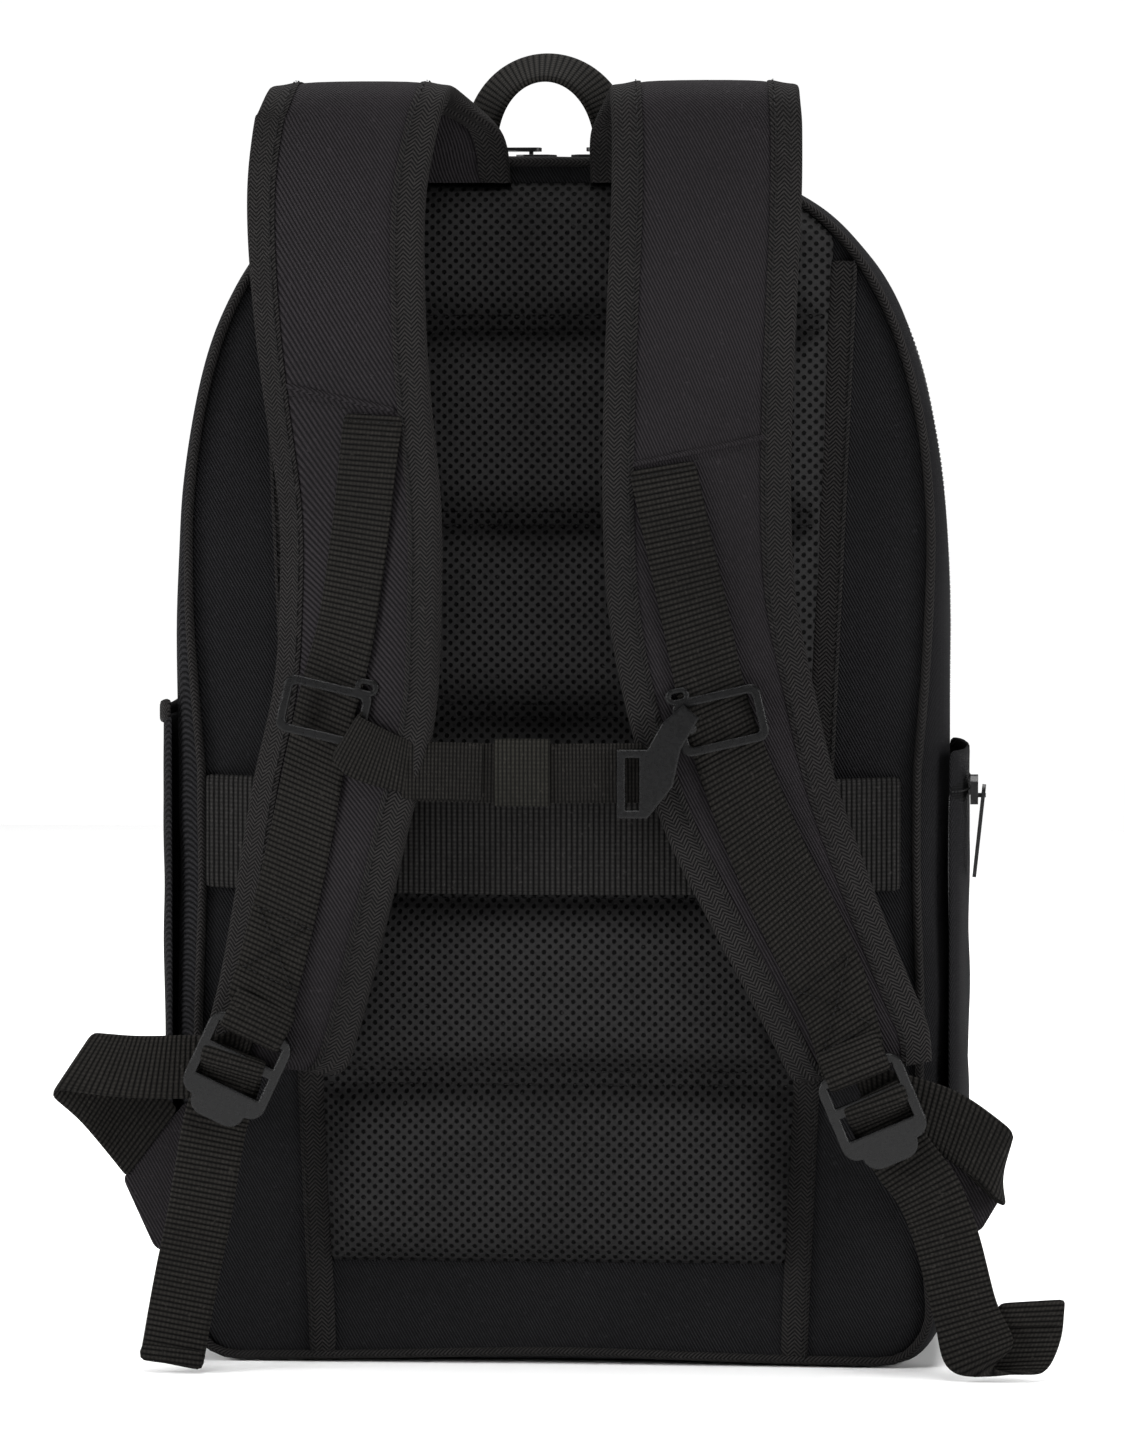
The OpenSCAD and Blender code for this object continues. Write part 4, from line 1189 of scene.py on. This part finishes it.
@dataclass
class Webbing:
    """Loops, tails, sternum strap, handle and tabs."""

    width: float = 25.0
    thick: float = 0.0015

    def build(self) -> None:
        """Builds every loose run of webbing."""
        self.build_lock_loops()
        self.build_tails()
        self.build_lower_loops()
        self.build_sternum()
        self.build_handle()

    def build_lock_loops(self) -> None:
        """The short loops that hold the ladder locks' top bars."""
        for name, at, tilt in (("left", (-121.6, 116), 25), ("right", (123, 102), -23)):
            a = math.radians(tilt)
            along_bar, up = Vector((math.cos(a), 0, -math.sin(a))), Vector((math.sin(a), 0, math.cos(a)))
            edges = []
            for y, v in ((-31.0, 30), (-33.2, 25), (-36.4, 20.5), (-37.4, 18), (-36.2, 14.6), (-33.4, 13.8),
                         (-30.6, 15), (-30.2, 22), (-30.0, 28)):
                p = Vector((at[0], y, at[1])) + up * v
                reach = along_bar * self.width / 2
                edges.append((MM * (p - reach), MM * (p + reach)))
            loop = ribbon(f"lock_loop_{name}", edges, self.thick, 6, 0.003)
            dress(loop, WEBBING, f"strap_{name}", f"strap_webbing_{name}")

    def build_tails(self) -> None:
        """The free ends that hang from the ladder locks; the right one is folded on the floor."""
        left = [[-120.6, -30.6, 124], [-121, -36.2, 123], [-121.8, -37.4, 120.4], [-122.6, -35.6, 117.2],
                [-123.6, -31.4, 114], [-125.6, -29.8, 108], [-129, -29.6, 98], [-131.6, -30.6, 84],
                [-135.6, -31.6, 60], [-141, -31.2, 34], [-145.6, -31.6, 8], [-146.6, -31.4, 2.6]]
        edges = flat_edges(left, self.width)
        hem = flat_edges([[-145.9, -32.9, 10], [-146.7, -32.9, 3]], self.width)
        dress(join("webbing_tail_cloth_left", [ribbon("tail", edges, self.thick, 6, 0.005),
                                               ribbon("hem", hem, self.thick, 6, 0.005)]),
              WEBBING, "lock_left", "webbing_tail_left")
        right = [[121.4, -30.6, 110], [122, -36.2, 109], [123, -37.4, 106.4], [124, -35.6, 103.2],
                 [125.4, -31.4, 100], [128, -29.8, 94], [134, -29.8, 84], [143, -30.8, 72],
                 [150, -31, 54], [157, -30.6, 27], [164, -31, 8], [168, -30.6, 3.2]]
        edges = flat_edges(right, self.width)
        edges[-1] = (mm(157, -30.6, 3.0), mm(184, -30.4, 3.4))
        edges += [(mm(158, -28.8, 2.3), mm(187, -28.4, 2.6)), (mm(160, -27.0, 4.2), mm(190, -26.6, 6)),
                  (mm(164, -26.6, 16), mm(194, -26.4, 17)), (mm(170, -26.6, 29), mm(195, -26.4, 31))]
        end = ribbon("tail_end", [(mm(166, -28.0, 20), mm(194.4, -27.8, 21)),
                                  (mm(170, -28.0, 29.6), mm(195.2, -27.8, 31.4))], self.thick, 6, 0.004)
        dress(join("webbing_tail_cloth_right", [ribbon("tail", edges, self.thick, 6, 0.004), end]),
              WEBBING, "lock_right", "webbing_tail_right")

    def build_lower_loops(self) -> None:
        """Webbing folded back on itself between the ladder locks and the tabs in the side seams."""
        runs = {
            "left": [((-112, -29.4, 134), (-120, -29.4, 110)), ((-128, -28.0, 130), (-131, -28.0, 105)),
                     ((-141, -27.2, 129.5), (-142, -27.2, 104.5)), ((-160, -26.6, 129), (-168, -26.6, 105)),
                     ((-176.5, -26.2, 130), (-192, -26.2, 107.5)),
                     ((-178, -24.2, 128.6), (-193.5, -24.2, 105)),
                     ((-169, -18, 119), (-184, -18, 95)), ((-158, -9, 110), (-176, -9, 83)),
                     ((-147, -4.4, 98), (-167.5, -4.4, 71))],
            "right": [((113, -29.4, 122), (120, -29.4, 99)), ((137, -28.0, 116), (133, -28.0, 91)),
                      ((156, -27.0, 109), (148, -27.0, 85)), ((174, -26.2, 96), (164, -26.2, 74)),
                      ((175.5, -24.2, 93), (167, -24.2, 70)), ((168, -17, 88), (172, -17, 66)),
                      ((158, -9, 86), (171, -9, 64)), ((149, -4.4, 83), (168, -4.4, 66))],
        }
        tabs = {"left": [(-143, 103), (-169.5, 71), (-157, 44), (-141, 36)],
                "right": [(143, 88), (172.5, 69), (163.5, 54), (142, 44)]}
        for name, run in runs.items():
            sign = -1 if name == "left" else 1
            joint = ("root", f"strap_{name}", mm(sign * 166, -24, 95), mm(sign * 136, -31, 117))
            edges = [(mm(*a), mm(*b)) for a, b in run]
            dress(ribbon(f"lower_webbing_{name}", edges, self.thick, 6, 0.004), WEBBING, joint,
                  f"webbing_loop_{name}")
            a, b, c, d = tabs[name]
            rows = []
            for k in range(9):
                t = k / 8
                start = Vector((lerp(a[0], d[0], t), 0, lerp(a[1], d[1], t)))
                end = Vector((lerp(b[0], c[0], t), 0, lerp(b[1], c[1], t)))
                rows.append([MM * (start.lerp(end, s / 6) + Vector((0, -3.4 - 0.5 * math.sin(3 * s / 6), 0)))
                             for s in range(7)])
            dress(cloth_sheet(f"anchor_tab_{name}", rows, 0.0016), STRAP, "root", f"lower_anchor_{name}")

    def build_sternum(self) -> None:
        """The strap across the chest with the elastic keeper that holds its spare webbing."""
        path = [[-55, -35.6, 231.4], [-40, -35.4, 231.2], [-15, -35.2, 230.6], [8, -35.2, 230.8],
                [31, -35.2, 231], [36, -35.0, 231]]
        run = ribbon("sternum_run", flat_edges(path, 23), 0.0014, 6, 0.004)
        fold = ribbon("sternum_fold", [
            (mm(-71, -33.2, 254.5), mm(-83, -33.2, 238)), (mm(-73.6, -35.6, 253), mm(-83.6, -35.6, 236)),
            (mm(-68, -37.4, 250), mm(-78, -37.4, 229.6)), (mm(-60, -37.4, 246), mm(-66, -37.4, 225.4)),
            (mm(-53, -37.0, 242.6), mm(-55, -37.0, 223))], 0.0014, 6, 0.003)
        spare = flat_edges([[-57, -36.9, 231.8], [-40, -36.8, 231.6], [-26, -36.6, 231.2]], 22.4)
        second = ribbon("sternum_second", spare, 0.0013, 6, 0.004)
        dress(join("sternum_strap_webbing", [run, fold, second]), FINE, "sternum", "sternum_webbing")
        lo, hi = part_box("sternum_keeper")
        middle, steps = (lo + hi) / 2, 28
        half_y, half_z = (hi.y - lo.y) / 2, (hi.z - lo.z) / 2
        rows = []
        for k in range(9):
            x = lerp(lo.x, hi.x, k / 8)
            row = []
            for s in range(steps):
                a = math.tau * s / steps
                row.append(Vector((x, middle.y + power(math.cos(a), 0.5) * half_y,
                                   middle.z + power(math.sin(a), 0.25) * half_z)))
            rows.append(row)
        keeper = cloth_sheet("elastic_keeper", rows, 0.0009, True, -1)
        dress(keeper, ELASTIC, "keeper", "sternum_keeper")

    def build_handle(self) -> None:
        """The grab handle, whose ends narrow where they are sewn to the top."""
        centre = Vector((-5, 13.5, 466.6))
        edges = []
        for k in range(41):
            a = math.pi * k / 40
            pair = []
            # The rear edge arches wider and higher than the front edge
            for depth, wide, tall in ((-9.5, 19.0, 27.5), (9.5, 33.0, 38.5)):
                x, up = wide * math.cos(a), tall * math.sin(a) ** 0.9
                pair.append(mm(centre.x + x, centre.y + depth - up * 0.22, centre.z + up))
            edges.append((pair[0], pair[1]))
        dress(ribbon("grab_handle_webbing", edges, 0.0026, 6, 0.004), WEBBING, "handle", "grab_handle")
        tabs = []
        for side in (-1, 1):
            x = centre.x + side * 27
            edges = [(mm(x - 7.5, y, 466.9), mm(x + 7.5, y, 466.9)) for y in (7, 11, 16, 20)]
            tabs.append(ribbon(f"tab_{side}", edges, 0.0014, 4, 0.004))
        dress(join("handle_sewn_tabs", tabs), WEBBING, "root", "handle_tabs")


@dataclass
class Pockets:
    """The bottle pocket, the zipped side pocket and the front pocket."""

    half_w: float = 150.0
    rear: float = 3.0
    fore: float = 100.0
    seam_z: float = 18.0
    sag: float = 4.0

    @staticmethod
    def swell(s: float) -> float:
        """The share of its fullness that a side pocket has at a share of its way across."""
        return (4 * s * (1 - s)) ** 0.45

    def across(self, s: float) -> float:
        """The depth in the bag at a share of the way across a side pocket."""
        return lerp(self.rear, self.fore, s)

    def bulged(self, name: str, side: int, out: float, low: float, high: float,
               sag: float) -> bpy.types.Object:
        """A pocket wall that swells from the bag's side.

        Args:
            name: the object's name.
            side: -1 for the left, 1 for the right.
            out: how far it stands out, in millimetres.
            low: the height of its bottom seam.
            high: the height of its top edge.
            sag: how far the middle of its top edge dips.
        """
        rows = []
        for k in range(34):
            t = k / 33
            row = []
            for c in range(31):
                s = c / 30
                swell = self.swell(s) * (0.25 + 0.75 * ease(t / 0.12))
                z = lerp(low, high - sag * math.sin(math.pi * s), t)
                p = mm(side * (self.half_w + 0.2 + out * swell), self.across(s), z)
                fold = crumple(Vector((p.y * 0.6 + p.z * 0.35, p.z * 0.5, side)), 0.02, 1.0) * swell
                p.x += side * MM * (fold - 0.6 * swell)
                row.append(p)
            rows.append(row)
        return grid(name, rows)

    def build(self) -> None:
        """Builds the three pockets and their zips."""
        wall = set_solid(self.bulged("bottle_pocket_cloth", -1, 7.0, self.seam_z, 253, self.sag), POCKET_CLOTH, 0, 1)
        dress(wall, BODY, "root", "bottle_pocket")
        rows = []
        for z in (249, 251, 254, 257):
            rows.append([mm(-(self.half_w + 0.7 + 7.0 * self.swell(s)), self.across(s),
                            z - self.sag * math.sin(math.pi * s)) for s in (c / 30 for c in range(31))])
        dress(cloth_sheet("bottle_pocket_edge", rows, 0.0022), BINDING, "root", "bottle_pocket_hem")
        wall = set_solid(self.bulged("side_pocket_cloth", 1, 8.0, self.seam_z, 238, 0), POCKET_CLOTH, 0, 1)
        dress(wall, BODY, "root", "side_pocket")
        self.build_side_zip()
        self.build_front()

    def build_side_zip(self) -> None:
        """The zip along the side pocket's top."""
        lo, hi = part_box("side_pocket_zip")
        rows, teeth = [], []
        for c in range(31):
            s = c / 30
            x, y = (self.half_w + 0.4 + 8.0 * self.swell(s)) * MM, self.across(s) * MM
            rows.append([Vector((x, y, z)) for z in (lo.z, (lo.z + hi.z) / 2, hi.z)])
            teeth.append(Vector((x + 0.0008, y, (lo.z + hi.z) / 2)))
        dress(cloth_sheet("side_zip_tape", rows, ZIP_TAPE_THICK), ZIP_TAPE, "root", "side_pocket_zip")
        dress(stitches("side_zip_coil", teeth, Vector((1, 0, 0)), COIL_PITCH), TEETH, "root")

    def build_front(self) -> None:
        """The front pocket as a soft box with rounded corners, and its zip."""
        lo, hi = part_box("front_pocket")
        centre = (lo + hi) / 2
        half_x, half_z = (hi.x - lo.x) / 2, (hi.z - lo.z) / 2
        ring = [(power(math.cos(a), 0.42), power(math.sin(a), 0.42))
                for a in (math.tau * k / 96 for k in range(96))]
        wall = ((lo.y - 0.001, 1.0), (lo.y + 0.008, 1.0), (lo.y + 0.018, 0.998), (hi.y - 0.007, 0.985),
                (hi.y - 0.003, 0.97), (hi.y - 0.0012, 0.945), (hi.y, 0.9), (hi.y + 0.0012, 0.75),
                (hi.y + 0.002, 0.5), (hi.y + 0.0024, 0.25), (hi.y + 0.0024, 0.1), (hi.y + 0.0024, 0.0))
        rows = []
        for y, share in wall:
            row = []
            for c, s in ring:
                p = Vector((centre.x + c * half_x * share, y, centre.z + s * half_z * share))
                p.y += MM * crumple(p, 0.06, 1.2) * min(1.0, (1 - share) * 8)
                row.append(p)
            rows.append(row)
        cloth = set_solid(weld(grid("front_pocket_cloth", rows, True)), POCKET_CLOTH, -1, 1)
        dress(cloth, BODY, "lid", "front_pocket")
        lo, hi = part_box("front_pocket_zip")
        rows = [[Vector((lerp(lo.x, hi.x, k / 30), hi.y + 0.0022 - 0.0008 * abs(k / 15 - 1) ** 4, z))
                 for k in range(31)] for z in (lo.z, (lo.z + hi.z) / 2, hi.z)]
        dress(cloth_sheet("front_zip_tape", rows, ZIP_TAPE_THICK), ZIP_TAPE, "lid", "front_pocket_zip")
        line = [p + Vector((0, 0.001, 0)) for p in rows[1]]
        dress(stitches("front_zip_coil", line, -WEARER, COIL_PITCH), TEETH, "lid")


@dataclass
class Inside:
    """What shows when the lid is open."""

    def build(self) -> None:
        """Builds the padded divider, base pad, organiser and laptop tab."""
        for name, node, finish, fill in (("laptop_divider_pad", "laptop_divider", LINING, 0.5),
                                         ("base_foam_pad", "base_pad", FOAM, 0.8)):
            pad = self.cushion(name, node)
            dress(pad, finish, "root", node)
        lo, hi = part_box("organiser_panel")
        rows = []
        for k in range(25):
            z = lerp(lo.z, hi.z, k / 24)
            row = []
            for t in (c / 32 for c in range(33)):
                out = 0.0065 * abs(2 * t - 1) ** 6 + 0.001 * math.sin(3 * math.pi * t) ** 2
                row.append(Vector((lerp(lo.x, hi.x, t), lo.y + out, z)))
            rows.append(row)
        dress(cloth_sheet("organiser_cloth", rows, 0.0012), LINING, "lid", "organiser_panel")
        lo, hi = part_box("laptop_tab")
        path = [(lo.y, lo.z), (lo.y, hi.z - 0.006), (lo.y + 0.006, hi.z), (hi.y - 0.006, hi.z),
                (hi.y, hi.z - 0.006), (hi.y, hi.z - 0.034)]
        edges = [(Vector((lo.x, y, z)), Vector((hi.x, y, z))) for y, z in path]
        dress(ribbon("laptop_tab_cloth", edges, 0.0015, 4, 0.004), LINING, "root", "laptop_tab")

    @staticmethod
    def cushion(name: str, node: str) -> bpy.types.Object:
        """A flat pad with rounded, slightly thinner edges in the place of a CAD node."""
        lo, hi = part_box(node)
        size = hi - lo
        thin = min(range(3), key=lambda k: size[k])
        a, b = (k for k in range(3) if k != thin)
        sheets = []
        for sign in (-1, 1):
            rows = []
            for i in range(31):
                row = []
                for j in range(31):
                    u, v = i / 30, j / 30
                    edge = min(u, 1 - u, v, 1 - v)
                    p = Vector((0, 0, 0))
                    p[a] = lerp(lo[a], hi[a], u)
                    p[b] = lerp(lo[b], hi[b], v)
                    p[thin] = (lo[thin] + hi[thin]) / 2 + sign * size[thin] / 2 * ease(edge * 24)
                    row.append(p)
                rows.append(row if sign > 0 else row[::-1])
            sheets.append(grid(f"{name}_{sign}", rows))
        return join(name, sheets)


HARD_NODES = {
    PLASTIC: ("strap_ring_left", "strap_ring_right", "ladder_lock_left", "ladder_lock_right", "sternum_hook"),
    METAL: ("main_slider_left", "main_slider_right", "main_pull_left", "main_pull_right", "front_slider",
            "front_pull", "side_slider", "side_pull"),
    BOARD: ("frame_sheet",),
}


def dress_fittings() -> None:
    """Rounds the edges of the moulded and cast fittings and gives them their finishes."""
    for finish, names in HARD_NODES.items():
        for name in names:
            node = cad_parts[name]
            node.data.materials.clear()
            node.data.materials.append(finish.material())
            bevel = node.modifiers.new("edges", "BEVEL")
            bevel.width = FITTING_EDGE
            bevel.segments = 3
            bevel.limit_method = "ANGLE"
            bevel.harden_normals = True
            LOG.info("%s: dressed", name)


@dataclass
class Studio:
    """Floor, light and camera."""

    azimuth: float = 4.0
    elevation: float = 3.0
    distance: float = 2.15
    view_width: float = 0.433
    aim: tuple = (0.0017, 0.0, 0.249)
    surroundings: float = 0.12
    lamps: tuple = (("left_light", (-1.8, -0.9, 0.8), 0.8, 38), ("right_light", (1.9, -0.9, 0.7), 0.8, 33),
                    ("top_light", (0.0, -0.8, 2.2), 0.8, 20), ("floor_light", (0, 1.0, 3.4), 3.0, 190))

    def build(self) -> None:
        """Sets the camera, the white floor and the soft lights."""
        self.build_camera()
        floor = grid("studio_floor", [[Vector((x, y, -0.0005)) for x in (-3, 3)] for y in (-3, 2.9)])
        white = bpy.data.materials.new("studio_white")
        white.use_nodes = True
        surface = white.node_tree.nodes["Principled BSDF"]
        surface.inputs["Base Color"].default_value = (1, 1, 1, 1)
        surface.inputs["Roughness"].default_value = 0.9
        surface.inputs["Specular IOR Level"].default_value = 0.0
        floor.data.materials.append(white)
        world = bpy.data.worlds.new("studio_world")
        world.use_nodes = True
        t = Tree(world.node_tree)
        seen = t.node("ShaderNodeLightPath").outputs["Is Camera Ray"]
        share, background = self.surroundings, world.node_tree.nodes["Background"].inputs
        t.put((1, 1, 1, 1), background["Color"])
        t.put(t.math("MULTIPLY_ADD", seen, 1.02 - share, share), background["Strength"])
        bpy.context.scene.world = world
        bpy.context.scene.view_settings.view_transform = "Standard"
        for name, place, size, power in self.lamps:
            data = bpy.data.lights.new(name, "AREA")
            data.size, data.energy = size, power
            lamp = bpy.data.objects.new(name, data)
            bpy.context.scene.collection.objects.link(lamp)
            lamp.location = place
            lamp.rotation_euler = (Vector((0, 0, 0.25)) - Vector(place)).to_track_quat("-Z", "Y").to_euler()

    def build_camera(self) -> None:
        """Looks at the wearer's side from a little to the right and above."""
        a, e = math.radians(self.azimuth), math.radians(self.elevation)
        aim = Vector(self.aim)
        data = bpy.data.cameras.new("camera")
        data.sensor_fit = "HORIZONTAL"
        data.sensor_width = SENSOR_WIDTH / MM
        data.lens = SENSOR_WIDTH / MM * self.distance / self.view_width
        camera = bpy.data.objects.new("camera", data)
        bpy.context.scene.collection.objects.link(camera)
        away = Vector((math.sin(a) * math.cos(e), -math.cos(a) * math.cos(e), math.sin(e)))
        camera.location = aim + away * self.distance
        camera.rotation_euler = (-away).to_track_quat("-Z", "Y").to_euler()
        bpy.context.scene.camera = camera


def main() -> None:
    """Builds the studio and every sub-assembly in order."""
    logging.basicConfig(level=logging.INFO, format="%(name)s %(message)s")
    for part in (Studio(), BagShell(), BackPadding(), LEFT, RIGHT, Webbing(), Pockets(), Inside()):
        part.build()
        LOG.info("%s done", type(part).__name__)
    dress_fittings()


if __name__ == "__main__":
    main()
